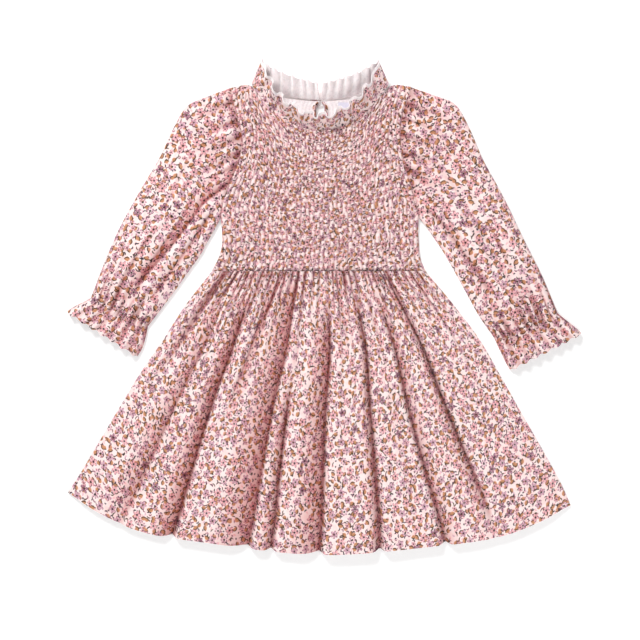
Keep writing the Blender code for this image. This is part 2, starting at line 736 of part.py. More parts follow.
def build_loop():
    """A cord loop from the other edge of the slit, round the button."""
    curve = bpy.data.curves.new("button_loop", "CURVE")
    curve.dimensions = "3D"
    curve.bevel_depth = LOOP_RADIUS * MM
    curve.bevel_resolution = 2
    curve.use_fill_caps = True
    round_button = BUTTON_RADIUS + LOOP_RADIUS + SEAM_GAP
    middle_x = KEYHOLE_X - BUTTON_OFFSET
    end_x = KEYHOLE_X + KEYHOLE_HALF_WIDTH + 2.0
    turns = [math.radians(a) for a in range(45, 316, 15)]
    points = [(end_x, BUTTON_Y + LOOP_ENDS)]
    points += [(middle_x + round_button * math.cos(a), BUTTON_Y + round_button * math.sin(a)) for a in turns]
    points += [(end_x, BUTTON_Y - LOOP_ENDS)]
    spline = curve.splines.new("POLY")
    spline.points.add(len(points) - 1)
    for point, (x, y) in zip(spline.points, points):
        point.co = (*metres((x, y, BUTTON_THICK - LOOP_RADIUS - 0.2)), 1)
    loop = bpy.data.objects.new("button_loop", curve)
    curve.materials.append(loop_cord)
    dress.objects.link(loop)


for old in list(bpy.data.objects):
    bpy.data.objects.remove(old)
dress = bpy.data.collections.new("smocked_dress")
cutters = bpy.data.collections.new("cutters")
for group in (dress, cutters):
    bpy.context.scene.collection.children.link(group)
printed = new_material("printed_cotton", BLUSH_PRINT, 0.85)
button_plastic = new_material("button_plastic", BUTTON_PINK, 0.35)
label_cloth = new_material("label_cloth", LABEL_LILAC, 0.75)
loop_cord = new_material("loop_cord", PALE_REVERSE, 0.8)

build_bodice()
build_skirt()
for name, sections, cuff, folds in (
    ("left", LEFT_SLEEVE, LEFT_CUFF, LEFT_FOLDS),
    ("right", RIGHT_SLEEVE, RIGHT_CUFF, RIGHT_FOLDS),
):
    build_sleeve(name, sections, folds)
    build_cuff(name, cuff, folds)
build_neck_ruffle()
build_binding()
build_label()
build_button()
build_loop()
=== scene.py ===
# A child's smocked dress in printed cotton, laid flat on a pale table and seen from straight above.
# Places in the tables are in mm: x from the dress's middle line, y up the photo, z off the table.
import math
from collections import namedtuple

import bpy
import numpy as np
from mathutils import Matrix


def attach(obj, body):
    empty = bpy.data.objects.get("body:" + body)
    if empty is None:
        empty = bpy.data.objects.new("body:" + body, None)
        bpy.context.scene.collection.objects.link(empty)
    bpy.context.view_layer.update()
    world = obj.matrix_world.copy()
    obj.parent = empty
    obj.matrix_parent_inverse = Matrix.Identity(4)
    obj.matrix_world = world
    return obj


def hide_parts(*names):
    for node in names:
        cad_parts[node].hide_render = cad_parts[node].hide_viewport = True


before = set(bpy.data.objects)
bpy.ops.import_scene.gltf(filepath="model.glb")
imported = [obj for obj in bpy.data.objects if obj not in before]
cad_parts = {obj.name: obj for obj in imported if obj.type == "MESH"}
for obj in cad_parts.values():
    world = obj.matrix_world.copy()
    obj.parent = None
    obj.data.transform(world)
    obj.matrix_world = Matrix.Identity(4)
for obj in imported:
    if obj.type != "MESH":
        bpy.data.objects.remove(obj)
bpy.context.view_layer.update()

mm = 0.001
centreLineX = -3.5
clothWall = 1.2  # the solid walls, whose outer sides the cloth follows
shellThickness = 0.55
thinCloth = 0.5  # the pieces that lie flat on others
seamGap = 0.3
waistY, underarmY, shoulderY = 42.8, 103.2, 251.4
frontInsideZ, frontEdgeZ, edgeRoll = 3.6, 1.5, 9.0
backZ = 0.6  # the middle of the back's cloth
backTopZ = 1.5  # the solid back's upper side, on which the binding and the label lie
armholeZ = 6.6

# What a user would change, one dictionary for each piece
bodice = {
    "ridges": 42,
    "rows": 28,
    "relief": 2.8,
    "pinch": 0.85,  # share of the relief lost at each shirred row
    "stagger": 0.52,  # how far a ridge shifts from row to row, in ridges
    "fullness": 1.70,  # cut width for each width of shirred cloth
    "shirredWidth": 0.243,
    "hidden": 0.40,  # share of the print that turns away between two ridges
    "cutLength": 0.232,
    "columns": 294,
    "lines": 147,
}
backBodice = {
    "ripple": 0.34,
    "fullness": 1.15,
    "cutWidth": 0.140,  # of each half
    "cutLength": 0.220,
    "printStart": 0.8,
    "columns": 126,
    "lines": 100,
}
skirt = {
    "gathers": 32,
    "gatherRelief": 3.6,
    "hemStitch": 0.968,  # shares of its length
    "waistStitch": 0.010,
    # the width of the painted dark line of shade at the bottom of each skirt fold:
    "crackShadeWidth": 0.0042,  # share of its width that a fold's darkest line takes
    "valleyReach": 0.85,  # of the solid's, for crisper folds
    "valleySteps": 96,  # a valley keeps to one of this many lines of points
    "gatherReach": 0.19,
    "foldAtWaist": 0.40,
    "hemDrop": 5.5,
    "cutAtWaist": 0.460,
    "cutAtHem": 0.660,
    "cutLength": 0.322,
    "printStart": 2.0,  # on the cut cloth in metres
    "hidden": 0.45,
    "columns": 330,
    "lines": 116,
}
backSkirt = {
    "ripple": 0.32,
    "troughs": 15,
    "cutAtWaist": 0.420,
    "cutAtHem": 0.600,
    "printStart": 4.0,
    "columns": 200,
    "lines": 70,
}
sleeve = {
    "flat": 7.2,
    "edgeZ": 3.0,
    "underZ": 0.12,
    "squareness": 8.0,
    "wideAtHead": 150.0,
    "wideAtCuff": 75.0,
    "armholeReach": 0.36,
    "printStarts": (6.0, 7.3),  # left and right
    # the width in mm of the painted dark line of shade along a sleeve's crisp folds
    "crackShadeWidth": 1.6,
    "topShare": 7 / 11,
    "headGathers": 8,
    "headRelief": 1.9,
    "headReach": 0.20,
    "cuffGathers": 8,
    "cuffRelief": 2.2,
    "cuffReach": 0.16,
    "columns": 220,
    "lines": 120,
    "stitched": (0.965, 0.988),  # shares of its length
}
sleeveCut = {"wide": 0.330, "long": 0.272, "area": 0.064}
cuffCut = {"wide": 0.215, "long": 0.038, "area": 0.0081}
cuff = {
    "waves": 7,
    "waveRelief": 3.0,
    "flare": 0.8,
    "hemSwing": 2.4,
    "puckers": 19,
    "columns": 264,
    "lines": 26,
    "stitched": (0.10, 0.90),
}
ruffle = {
    "frontWaves": 9,
    "backWaves": 8,
    "atTop": 4.6,  # how far the waves swing, in mm
    "atBase": 0.3,
    "backShare": 0.32,
    "calm": 0.15,  # share of the waves left where the neck turns from back to front
    "meander": 1.1,  # how far the edge bends along itself, in mm
    "pleatShade": 0.8,
    "paleRows": 2,
    "tuck": 0.06,
    "tuckReach": 2.6,
    "middleY": 240.0,
    "cutLong": 0.500,
    "cutWide": 0.026,
    "printStart": 9.0,
    "frontFirst": 0.26,  # where the front's waves begin, and how long they run: shares of its length
    "frontLong": 0.48,
    "columns": 1100,
    "lines": 16,
}
keyhole = {
    "x": -1.2,
    "topY": 240.0,
    "shutY": 236.0,  # the slit stays narrow above this
    "wideY": 229.0,
    "endY": 186.0,
    "halfWidth": 4.6,
    "slit": 0.8,
}
binding = {
    "topY": 235.0,
    "gap": 0.4,
    "wide": 3.6,
    "straightShare": 0.38,  # of its length, on each side of the slit
    "rounding": 0.35,
    "cutLong": 0.110,
    "cutWide": 0.0101,
    "shownWide": 0.006,
    "printStart": 11.0,
}
tape = {"x": 27.0, "y": 228.5, "wide": 15.0, "high": 12.0}
stitchRise = 0.05
stitch = {"Spacing": 2.6 * mm, "Length": 1.9 * mm, "Thickness": 0.34 * mm}
neckLift = {"height": 2.7, "reach": 36.0, "level": 20.0, "slope": 28.0}
floral = {
    "ground": (0.875, 0.72, 0.705),
    "wash": (0.885, 0.64, 0.62),
    "pink": (0.86, 0.49, 0.50),
    "rose": (0.72, 0.35, 0.38),
    "lilac": (0.70, 0.44, 0.51),
    "mauve": (0.52, 0.28, 0.36),
    "plum": (0.26, 0.09, 0.14),
    "slate": (0.045, 0.028, 0.045),
    "ochre": (0.60, 0.28, 0.15),
    "clay": (0.66, 0.31, 0.20),
    "olive": (0.07, 0.04, 0.022),
    "dot": (0.04, 0.015, 0.025),
}

Side = namedtuple("Side", "y left right")
bodiceSides = [
    Side(42.8, -124.3, 118.6),
    Side(56.0, -117.4, 112.9),
    Side(70.0, -113.2, 111.2),
    Side(88.0, -112.9, 110.3),
    Side(103.2, -114.0, 110.6),
    Side(117.0, -112.6, 108.3),
    Side(137.0, -106.4, 102.6),
    Side(159.0, -97.0, 95.8),
    Side(180.0, -91.0, 91.2),
    Side(197.0, -90.0, 90.0),
    Side(222.0, -97.0, 92.5),
    Side(240.0, -101.0, 99.0),
    Side(256.0, -102.6, 102.6),
]
Neckline = namedtuple("Neckline", "across front back")
neckline = [
    Neckline(0.00, 251.4, 251.4),
    Neckline(0.10, 254.0, 254.0),
    Neckline(0.15, 244.0, 251.0),
    Neckline(0.20, 230.0, 246.5),
    Neckline(0.28, 216.0, 241.0),
    Neckline(0.38, 206.5, 237.5),
    Neckline(0.50, 202.8, 236.0),
    Neckline(0.62, 206.5, 237.5),
    Neckline(0.72, 216.0, 241.0),
    Neckline(0.80, 230.0, 246.5),
    Neckline(0.85, 244.0, 251.0),
    Neckline(0.90, 254.0, 254.0),
    Neckline(1.00, 252.5, 252.5),
]
SkirtSide = namedtuple("SkirtSide", "down left right")
skirtSides = [
    SkirtSide(0.00, -124.3, 118.6),
    SkirtSide(0.15, -154.0, 152.0),
    SkirtSide(0.30, -178.5, 181.5),
    SkirtSide(0.45, -204.5, 204.5),
    SkirtSide(0.60, -227.5, 227.0),
    SkirtSide(0.75, -250.0, 250.0),
    SkirtSide(0.90, -272.5, 272.0),
    SkirtSide(1.00, -288.4, 284.0),
]
HemLine = namedtuple("HemLine", "across y")
hemLine = [
    HemLine(0.00, -210.0),
    HemLine(0.13, -248.0),
    HemLine(0.27, -263.0),
    HemLine(0.50, -277.0),
    HemLine(0.72, -268.0),
    HemLine(0.87, -255.0),
    HemLine(1.00, -224.0),
]
# How high the skirt's front stands at each place across it, between its valleys.
Crown = namedtuple("Crown", "across height")
skirtCrown = [
    Crown(0.00, 0.0),
    Crown(0.03, 3.6),
    Crown(0.09, 5.6),
    Crown(0.16, 6.8),
    Crown(0.28, 8.8),
    Crown(0.44, 9.2),
    Crown(0.56, 11.0),
    Crown(0.68, 9.6),
    Crown(0.79, 8.2),
    Crown(0.88, 6.2),
    Crown(0.96, 3.8),
    Crown(1.00, 0.0),
]
# A valley's place across at the waist, half way and at the hem, how far its sides reach, the
# stretch down that it takes, and its depth: shares of the whole.
Valley = namedtuple("Valley", "waist middle hem left right first last depth")
skirtValleys = [
    Valley(0.085, 0.045, 0.035, 0.022, 0.016, -0.20, 0.50, 0.50),
    Valley(0.135, 0.118, 0.105, 0.034, 0.018, 0.05, 1.10, 0.60),
    Valley(0.225, 0.208, 0.208, 0.034, 0.016, 0.02, 1.30, 0.95),
    Valley(0.300, 0.256, 0.245, 0.016, 0.026, -0.20, 0.62, 0.60),
    Valley(0.410, 0.370, 0.358, 0.060, 0.016, -0.20, 1.30, 0.90),
    Valley(0.440, 0.410, 0.404, 0.022, 0.016, 0.35, 1.30, 0.80),
    Valley(0.545, 0.512, 0.500, 0.050, 0.018, 0.05, 1.30, 0.92),
    Valley(0.652, 0.632, 0.620, 0.020, 0.018, 0.00, 1.30, 0.92),
    Valley(0.735, 0.734, 0.750, 0.018, 0.022, 0.02, 1.30, 0.92),
    Valley(0.803, 0.832, 0.852, 0.022, 0.016, -0.20, 1.05, 1.00),
]
SleeveSection = namedtuple("SleeveSection", "along outerX outerY innerX innerY")
leftSleeve = [
    SleeveSection(0.000, -102.6, 251.4, -114.0, 103.2),
    SleeveSection(0.110, -128.0, 242.0, -121.0, 90.0),
    SleeveSection(0.210, -152.0, 231.0, -128.5, 77.5),
    SleeveSection(0.320, -166.5, 209.0, -138.0, 60.0),
    SleeveSection(0.460, -184.5, 171.0, -151.5, 41.5),
    SleeveSection(0.600, -207.0, 133.0, -165.5, 21.5),
    SleeveSection(0.740, -229.5, 92.0, -179.5, 3.0),
    SleeveSection(0.880, -246.5, 53.0, -190.5, -11.5),
    SleeveSection(1.000, -262.2, 12.0, -197.2, -20.0),
]
rightSleeve = [
    SleeveSection(0.000, 102.6, 252.0, 110.6, 103.2),
    SleeveSection(0.110, 128.0, 243.0, 118.5, 94.0),
    SleeveSection(0.210, 152.0, 233.0, 127.0, 82.0),
    SleeveSection(0.320, 167.0, 209.0, 138.5, 65.0),
    SleeveSection(0.460, 184.5, 169.0, 152.0, 41.5),
    SleeveSection(0.600, 208.0, 126.0, 165.5, 17.0),
    SleeveSection(0.740, 229.5, 81.0, 177.5, -5.0),
    SleeveSection(0.880, 251.5, 37.0, 188.5, -21.5),
    SleeveSection(1.000, 269.0, -5.0, 197.0, -33.6),
]
leftCuff = [
    SleeveSection(0.00, -262.2, 12.0, -197.2, -20.0),
    SleeveSection(0.35, -271.0, 7.0, -199.5, -31.0),
    SleeveSection(0.70, -281.5, 1.5, -203.5, -44.5),
    SleeveSection(1.00, -289.5, -4.0, -209.5, -55.5),
]
rightCuff = [
    SleeveSection(0.00, 269.0, -5.0, 197.0, -33.6),
    SleeveSection(0.35, 278.5, -13.0, 202.5, -46.0),
    SleeveSection(0.70, 289.0, -21.5, 209.0, -59.5),
    SleeveSection(1.00, 296.5, -28.5, 215.0, -70.5),
]
SleeveFold = namedtuple("SleeveFold", "start end halfWidth height first")
leftFolds = [
    SleeveFold(0.38, 0.26, 0.34, 2.6, 0.00),
    SleeveFold(0.83, 0.66, 0.10, 4.0, 0.05),
    SleeveFold(0.95, 0.86, 0.08, 2.4, 0.10),
]
rightFolds = [
    SleeveFold(0.34, 0.24, 0.26, 2.2, 0.00),
    SleeveFold(0.66, 0.52, 0.20, 2.6, 0.10),
    SleeveFold(0.95, 0.87, 0.10, 2.8, 0.08),
]
RuffleStation = namedtuple("RuffleStation", "along x y z leanX leanY leanZ height")
neckRuffle = [
    RuffleStation(0.000, -2.2, 237.3, 4.4, -0.10, 0.88, 0.46, 21.0),
    RuffleStation(0.075, -24.0, 239.2, 4.4, -0.06, 0.88, 0.46, 25.0),
    RuffleStation(0.150, -48.0, 245.4, 4.6, 0.00, 0.88, 0.46, 27.0),
    RuffleStation(0.205, -67.5, 254.4, 5.6, 0.16, 0.90, 0.40, 26.5),
    RuffleStation(0.230, -76.5, 258.8, 7.6, 0.34, 0.90, 0.28, 27.0),
    RuffleStation(0.250, -77.5, 255.8, 10.2, 0.46, 0.80, 0.38, 27.0),
    RuffleStation(0.285, -70.4, 245.6, 8.6, 0.42, 0.70, 0.58, 26.0),
    RuffleStation(0.330, -58.0, 230.6, 6.6, 0.24, 0.70, 0.67, 25.0),
    RuffleStation(0.400, -36.0, 213.8, 5.0, 0.10, 0.68, 0.73, 24.5),
    RuffleStation(0.500, -2.0, 204.2, 4.6, 0.00, 0.58, 0.81, 24.0),
    RuffleStation(0.600, 32.0, 213.8, 5.0, -0.10, 0.68, 0.73, 24.5),
    RuffleStation(0.670, 54.5, 230.6, 6.6, -0.24, 0.70, 0.67, 25.0),
    RuffleStation(0.715, 67.6, 245.6, 8.6, -0.42, 0.70, 0.58, 25.0),
    RuffleStation(0.750, 75.0, 256.0, 10.2, -0.46, 0.76, 0.42, 25.0),
    RuffleStation(0.770, 74.0, 259.0, 7.6, -0.34, 0.86, 0.30, 25.0),
    RuffleStation(0.795, 65.0, 254.6, 5.6, -0.16, 0.90, 0.40, 26.0),
    RuffleStation(0.850, 45.5, 245.4, 4.6, 0.00, 0.88, 0.46, 27.0),
    RuffleStation(0.925, 21.5, 239.2, 4.4, 0.06, 0.88, 0.46, 25.0),
    RuffleStation(1.000, -0.3, 237.3, 4.4, 0.10, 0.88, 0.46, 21.0),
]
# A sleeve's crisp fold: its place across at the head, half way and at the cuff, the stretch that it
# takes, how far it falls, its reach on the outer and the inner side in mm, and its painted shade.
SleeveValley = namedtuple("SleeveValley", "head middle cuff first last fall outer inner shade")
leftValleys = [
    SleeveValley(0.73, 0.675, 0.49, -0.10, 0.90, 2.6, 13.0, 3.0, 0.95),
    SleeveValley(0.86, 0.84, 0.80, 0.06, 0.86, 1.6, 3.0, 9.0, 0.60),
    SleeveValley(0.45, 0.40, 0.36, 0.55, 1.10, 1.2, 6.0, 4.0, 0.45),
]
rightValleys = [
    SleeveValley(0.90, 0.78, 0.66, 0.06, 0.80, 1.7, 4.0, 7.0, 0.60),
    SleeveValley(0.36, 0.34, 0.33, 0.52, 0.82, 1.3, 5.0, 3.0, 0.55),
    SleeveValley(0.60, 0.55, 0.52, 0.30, 0.70, 1.0, 6.0, 5.0, 0.30),
]
# Creases, listed one by one: a line's place across at both ends, its stretch, half width and rise in mm.
Crease = namedtuple("Crease", "startAcross endAcross first last halfWidth rise")
skirtCreases = [
    Crease(0.150, 0.135, 0.00, 0.45, 6, 0.9),
    Crease(0.180, 0.170, 0.25, 1.00, 8, 0.5),
    Crease(0.245, 0.243, 0.00, 0.42, 6, 1.0),
    Crease(0.345, 0.325, 0.00, 0.40, 6, 1.1),
    Crease(0.372, 0.331, 0.30, 1.00, 8, 0.8),
    Crease(0.470, 0.440, 0.00, 0.45, 7, 0.9),
    Crease(0.505, 0.458, 0.00, 0.40, 6, 0.8),
    Crease(0.125, -0.04, -0.12, 0.28, 4, -1.5),
    Crease(0.262, 0.040, -0.12, 0.32, 4, -1.7),
    Crease(0.335, 0.110, -0.12, 0.34, 4, -1.8),
    Crease(0.617, 0.600, -0.12, 0.20, 4, -1.7),
    Crease(0.585, 0.575, 0.02, 0.38, 5, -1.2),
    Crease(0.610, 0.570, 0.00, 0.38, 6, 0.8),
    Crease(0.690, 0.690, 0.02, 0.42, 5, -1.1),
    Crease(0.705, 0.690, 0.35, 1.00, 9, -0.5),
    Crease(0.770, 0.790, 0.00, 0.45, 6, 0.9),
    Crease(0.925, 0.850, 0.00, 0.22, 5, -1.4),
    Crease(0.880, 0.900, 0.00, 0.60, 9, 0.6),
    Crease(0.945, 0.960, 0.00, 0.90, 9, 0.6),
]
leftCreases = [
    Crease(0.18, 0.12, 0.02, 0.62, 5, 1.5),
    Crease(0.30, 0.44, 0.06, 0.70, 5, -1.3),
    Crease(0.50, 0.30, 0.10, 0.98, 5, 1.4),
    Crease(0.62, 0.58, 0.20, 0.95, 4, -1.8),
    Crease(0.70, 0.20, 0.30, 0.80, 5, 1.2),
    Crease(0.12, 0.22, 0.40, 1.00, 4, 1.3),
]
rightCreases = [
    Crease(0.16, 0.10, 0.02, 0.55, 5, 1.4),
    Crease(0.28, 0.40, 0.05, 0.60, 5, -1.4),
    Crease(0.55, 0.38, 0.12, 0.98, 5, -1.5),
    Crease(0.80, 0.66, 0.10, 0.90, 4, -1.7),
    Crease(0.34, 0.70, 0.35, 0.85, 5, 1.2),
    Crease(0.14, 0.12, 0.55, 1.00, 4, 1.3),
]


def soft(t):
    t = np.clip(t, 0.0, 1.0)
    return t * t * (3 - 2 * t)


def bump(x, middle, halfWidth):
    return 0.5 + 0.5 * np.cos(np.pi * np.minimum(1.0, np.abs(x - middle) / halfWidth))


def partWay(start, end, share):
    return start + (end - start) * share


def within(x, first, last, rise, fall):
    # 1 on the stretch from first to last, and fading at its two ends
    return soft((x - first) / rise) * soft((last - x) / fall)


def ridgeOf(phase):
    # 0 at each whole number and 1 half way between two
    return 0.5 - 0.5 * np.cos(2 * np.pi * phase)


def throughThree(start, middle, end, t):
    # on the curve through its places at 0, 0.5 and 1
    return start * (1 - 2 * t) * (1 - t) + middle * 4 * t * (1 - t) + end * t * (2 * t - 1)


def follow(table, place):
    # the table's other columns at places in its first, on a smooth curve through its rows
    rows = np.array(table, float)
    at = rows[:, 0]
    k = np.clip(np.searchsorted(at, place, side="right") - 1, 0, len(at) - 2)
    before, after = np.maximum(k - 1, 0), np.minimum(k + 2, len(at) - 1)
    step = at[k + 1] - at[k]
    t = (place - at[k]) / step
    found = []
    for c in range(1, rows.shape[1]):
        col = rows[:, c]
        leave = (col[k + 1] - col[before]) / (at[k + 1] - at[before]) * step
        arrive = (col[after] - col[k]) / (at[after] - at[k]) * step
        value = col[k] * (1 + 2 * t) * (1 - t) ** 2 + leave * t * (1 - t) ** 2
        found.append(value + col[k + 1] * t * t * (3 - 2 * t) - arrive * t * t * (1 - t))
    return found


def gridOf(columns, lines):
    return np.meshgrid(np.linspace(0, 1, columns + 1), np.linspace(0, 1, lines + 1))


def wander(x, y, seed):
    # slow unevenness between -1 and 1
    a = np.sin(2.1 * x + 1.3 * y + seed) + np.sin(-1.7 * x + 2.6 * y + 2.2 * seed)
    return 0.5 * a * np.cos(0.9 * x - 0.7 * y + 0.6 * seed)


def scattered(number, seed):
    # an unrelated share between 0 and 1 for each whole number
    return np.modf(np.abs(np.sin(number * 12.9898 + seed * 78.233) * 43758.5453))[0]


def creased(creases, across, along, width):
    # soft troughs and ridges on the way between their two ends
    rise = np.zeros_like(across)
    for c in creases:
        middle = partWay(c.startAcross, c.endAcross, along)
        taper = within(along, c.first, c.last, 0.12, 0.22)
        rise += c.rise * taper * bump(across * width, middle * width, c.halfWidth)
    return rise


def faceOut(corners, points):
    # whether the closed mesh's faces point outwards
    a, b, c, d = (points[corners[:, n]] for n in range(4))
    volume = np.einsum("ij,ij->", a, np.cross(b, c)) + np.einsum("ij,ij->", a, np.cross(c, d))
    return volume >= 0


def quads(*corners):
    return np.stack(corners, axis=-1).reshape(-1, 4)


def quadPlaces(*places):
    return np.stack(places, axis=-2).reshape(-1, 4, 2)


def newObject(name, data):
    thing = bpy.data.objects.new(name, data)
    bpy.context.scene.collection.objects.link(thing)
    return thing


def clothMesh(name, outer, inner, u, v, shades, materials, ring=False, paleRows=0):
    # a closed thin shell between two grids of points, with the cut cloth's own place as its UV map,
    # and with its last rows in the second material where they are pale
    lines, columns = outer.shape[:2]
    count = lines * columns
    spans = columns if ring else columns - 1
    i, j = np.meshgrid(np.arange(spans), np.arange(lines - 1))
    nextI = (i + 1) % columns
    a, b = j * columns + i, j * columns + nextI
    d, c = a + columns, b + columns
    uv = np.stack([u, v], axis=-1)
    ua, ub, uc, ud = uv[j, i], uv[j, i + 1], uv[j + 1, i + 1], uv[j + 1, i]
    corners = [quads(a, d, c, b), quads(a, b, c, d) + count]
    uvs = [quadPlaces(ua, ud, uc, ub), quadPlaces(ua, ub, uc, ud)]
    slots = [np.zeros(len(corners[0]), int), np.ones(len(corners[0]), int)]
    if paleRows:
        slots[0][-spans * paleRows :] = 1
    rims = [
        (a[0], b[0], ua[0], ub[0]),
        (c[-1], d[-1], uc[-1], ud[-1]),
    ]
    if not ring:
        rims += [(d[:, 0], a[:, 0], ud[:, 0], ua[:, 0]), (b[:, -1], c[:, -1], ub[:, -1], uc[:, -1])]
    for n, (p, q, up, uq) in enumerate(rims):
        corners.append(quads(p, q, q + count, p + count))
        uvs.append(quadPlaces(up, uq, uq, up))
        slots.append(np.full(len(p), int(n == 1 and paleRows > 0)))
    corners, uvs, slots = np.concatenate(corners), np.concatenate(uvs), np.concatenate(slots)
    points = np.concatenate([outer.reshape(-1, 3), inner.reshape(-1, 3)])
    points = (points + np.array([centreLineX, 0, 0])) * mm
    if not faceOut(corners, points):
        corners, uvs = corners[:, ::-1], uvs[:, ::-1]
    mesh = bpy.data.meshes.new(name)
    mesh.vertices.add(len(points))
    mesh.vertices.foreach_set("co", points.ravel())
    mesh.loops.add(corners.size)
    mesh.loops.foreach_set("vertex_index", corners.ravel().astype(np.int32))
    mesh.polygons.add(len(corners))
    mesh.polygons.foreach_set("loop_start", np.arange(0, corners.size, 4, dtype=np.int32))
    mesh.polygons.foreach_set("material_index", slots.astype(np.int32))
    mesh.update(calc_edges=True)
    mesh.uv_layers.new(name="cloth").data.foreach_set("uv", uvs.ravel())
    # the painted shade values, one for each point, the same on both sides of the cloth
    for label, value in shades.items():
        shade = mesh.attributes.new(label, "FLOAT", "POINT")
        shade.data.foreach_set("value", np.tile(np.clip(value, 0, 1).ravel(), 2))
    mesh.validate()
    for material in materials:
        mesh.materials.append(material)
    mesh.shade_smooth()
    mesh.set_sharp_from_angle(angle=math.radians(70))
    piece = newObject(name, mesh)
    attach(piece, "root")
    return piece


def normalsOf(points):
    down = np.gradient(points, axis=0)
    over = np.gradient(points, axis=1)
    n = np.cross(over, down)
    return n / np.maximum(1e-9, np.linalg.norm(n, axis=-1, keepdims=True))


def below(points, thickness=shellThickness):
    # the cloth's other side, straight below a surface seen from above
    slope = np.maximum(0.35, np.abs(normalsOf(points)[..., 2]))
    lower = points.copy()
    lower[..., 2] -= np.minimum(thickness * 1.8, thickness / slope)
    return lower


def stacked(x, y, z):
    return np.stack([x, y, z + 0 * x], axis=-1)


def moved(points, rise):
    return points + np.array([0, 0, rise])


def cottonPiece(piece, node, flat, **cut):
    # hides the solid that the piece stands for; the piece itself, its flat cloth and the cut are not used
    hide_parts(node)


# Materials
def makeGroup(name, inputs, outputs):
    group = bpy.data.node_groups.new(name, "ShaderNodeTree")
    for label, kind, value in inputs:
        socket = group.interface.new_socket(label, in_out="INPUT", socket_type=kind)
        if value is not None:
            socket.default_value = value
    for label, kind in outputs:
        group.interface.new_socket(label, in_out="OUTPUT", socket_type=kind)
    return group, group.nodes.new("NodeGroupInput"), group.nodes.new("NodeGroupOutput")


class Wiring:
    # short ways to add nodes to one tree
    def __init__(self, tree):
        self.tree = tree

    def put(self, socket, value):
        if isinstance(value, bpy.types.NodeSocket):
            self.tree.links.new(value, socket)
        else:
            socket.default_value = value

    def node(self, kind, *values):
        node = self.tree.nodes.new(kind)
        for socket, value in zip(node.inputs, values):
            self.put(socket, value)
        return node

    def math(self, operation, *values):
        node = self.node("ShaderNodeMath", *values)
        node.operation = operation
        return node.outputs[0]

    def times(self, *values):
        return self.math("MULTIPLY", *values)

    def plus(self, *values):
        return self.math("ADD", *values)

    def minus(self, *values):
        return self.math("SUBTRACT", *values)

    def over(self, *values):
        return self.math("DIVIDE", *values)

    def vector(self, operation, *values):
        node = self.node("ShaderNodeVectorMath", *values)
        node.operation = operation
        return node.outputs["Value" if operation in ("LENGTH", "DISTANCE", "DOT_PRODUCT") else "Vector"]

    def split(self, vector):
        return self.node("ShaderNodeSeparateXYZ", vector).outputs

    def join(self, x, y, z=0.0):
        return self.node("ShaderNodeCombineXYZ", x, y, z).outputs[0]

    def ramp(self, value, low, high):
        # 0 below low, 1 above high and smooth between
        node = self.node("ShaderNodeMapRange", value, low, high)
        node.interpolation_type = "SMOOTHSTEP"
        return node.outputs[0]

    def noise(self, vector, scale, detail=2.0):
        node = self.tree.nodes.new("ShaderNodeTexNoise")
        self.put(node.inputs["Vector"], vector)
        node.inputs["Scale"].default_value = scale
        node.inputs["Detail"].default_value = detail
        return node.outputs["Fac"], node.outputs["Color"]

    def mix(self, share, a, b, blend="MIX"):
        # the mix node has sockets of one label for each kind, so they are found by kind
        node = self.tree.nodes.new("ShaderNodeMix")
        node.data_type = "RGBA"
        node.blend_type = blend
        self.put([s for s in node.inputs if s.name == "Factor" and s.type == "VALUE"][0], share)
        for socket, value in zip([s for s in node.inputs if s.type == "RGBA"], (a, b)):
            self.put(socket, (*value, 1) if isinstance(value, tuple) and len(value) == 3 else value)
        return [s for s in node.outputs if s.type == "RGBA"][0]

    def group(self, group, **values):
        node = self.tree.nodes.new("ShaderNodeGroup")
        node.node_tree = group
        for label, value in values.items():
            self.put(node.inputs[label], value)
        return node.outputs


def scatter(w, given, cell, seed, jitter):
    # one motif's place in each cell of a jittered grid, turned at random, where its chance falls
    layer = w.tree.nodes.new("ShaderNodeVectorRotate")
    layer.rotation_type = "Z_AXIS"
    w.put(layer.inputs["Vector"], given.outputs["Place"])
    w.put(layer.inputs["Angle"], seed)
    place = w.vector("DIVIDE", layer.outputs[0], w.join(cell, cell, cell))
    place = w.vector("ADD", place, w.join(seed, w.times(seed, 1.7)))
    x, y, _ = w.split(place)
    row = w.math("FLOOR", y)
    shifted = w.plus(x, w.times(row, 0.37))
    chance = w.tree.nodes.new("ShaderNodeTexWhiteNoise")
    chance.noise_dimensions = "3D"
    w.put(chance.inputs["Vector"], w.join(w.math("FLOOR", shifted), row, seed))
    first, second, third = w.split(chance.outputs["Color"])
    local = []
    for value, random in ((shifted, first), (y, second)):
        middle = w.plus(0.5, w.times(w.minus(random, 0.5), jitter))
        local.append(w.times(w.minus(w.math("FRACT", value), middle), cell))
    turn = w.tree.nodes.new("ShaderNodeVectorRotate")
    turn.rotation_type = "Z_AXIS"
    w.put(turn.inputs["Vector"], w.join(*local))
    w.put(turn.inputs["Angle"], w.times(third, 2 * math.pi))
    above = w.math("GREATER_THAN", chance.outputs["Value"], given.outputs["Low"])
    there = w.times(above, w.math("LESS_THAN", chance.outputs["Value"], given.outputs["High"]))
    return turn.outputs[0], there, w.plus(0.86, w.times(first, 0.28))


def motifGroup(name, sizes, masks):
    # a layer's group: the cloth's place, its cell and chances, and the motif's own sizes
    inputs = [("Place", "NodeSocketVector", None), ("Cell", "NodeSocketFloat", 12.0)]
    inputs += [(label, "NodeSocketFloat", 0.0) for label in ("Seed", "Low", "High", "Jitter")]
    inputs += [(label, "NodeSocketFloat", value) for label, value in sizes.items()]
    group, given, out = makeGroup(name, inputs, [(label, "NodeSocketFloat") for label in masks])
    w = Wiring(group)
    layer = (given.outputs[label] for label in ("Cell", "Seed", "Jitter"))
    return group, given, out, w, scatter(w, given, *layer)


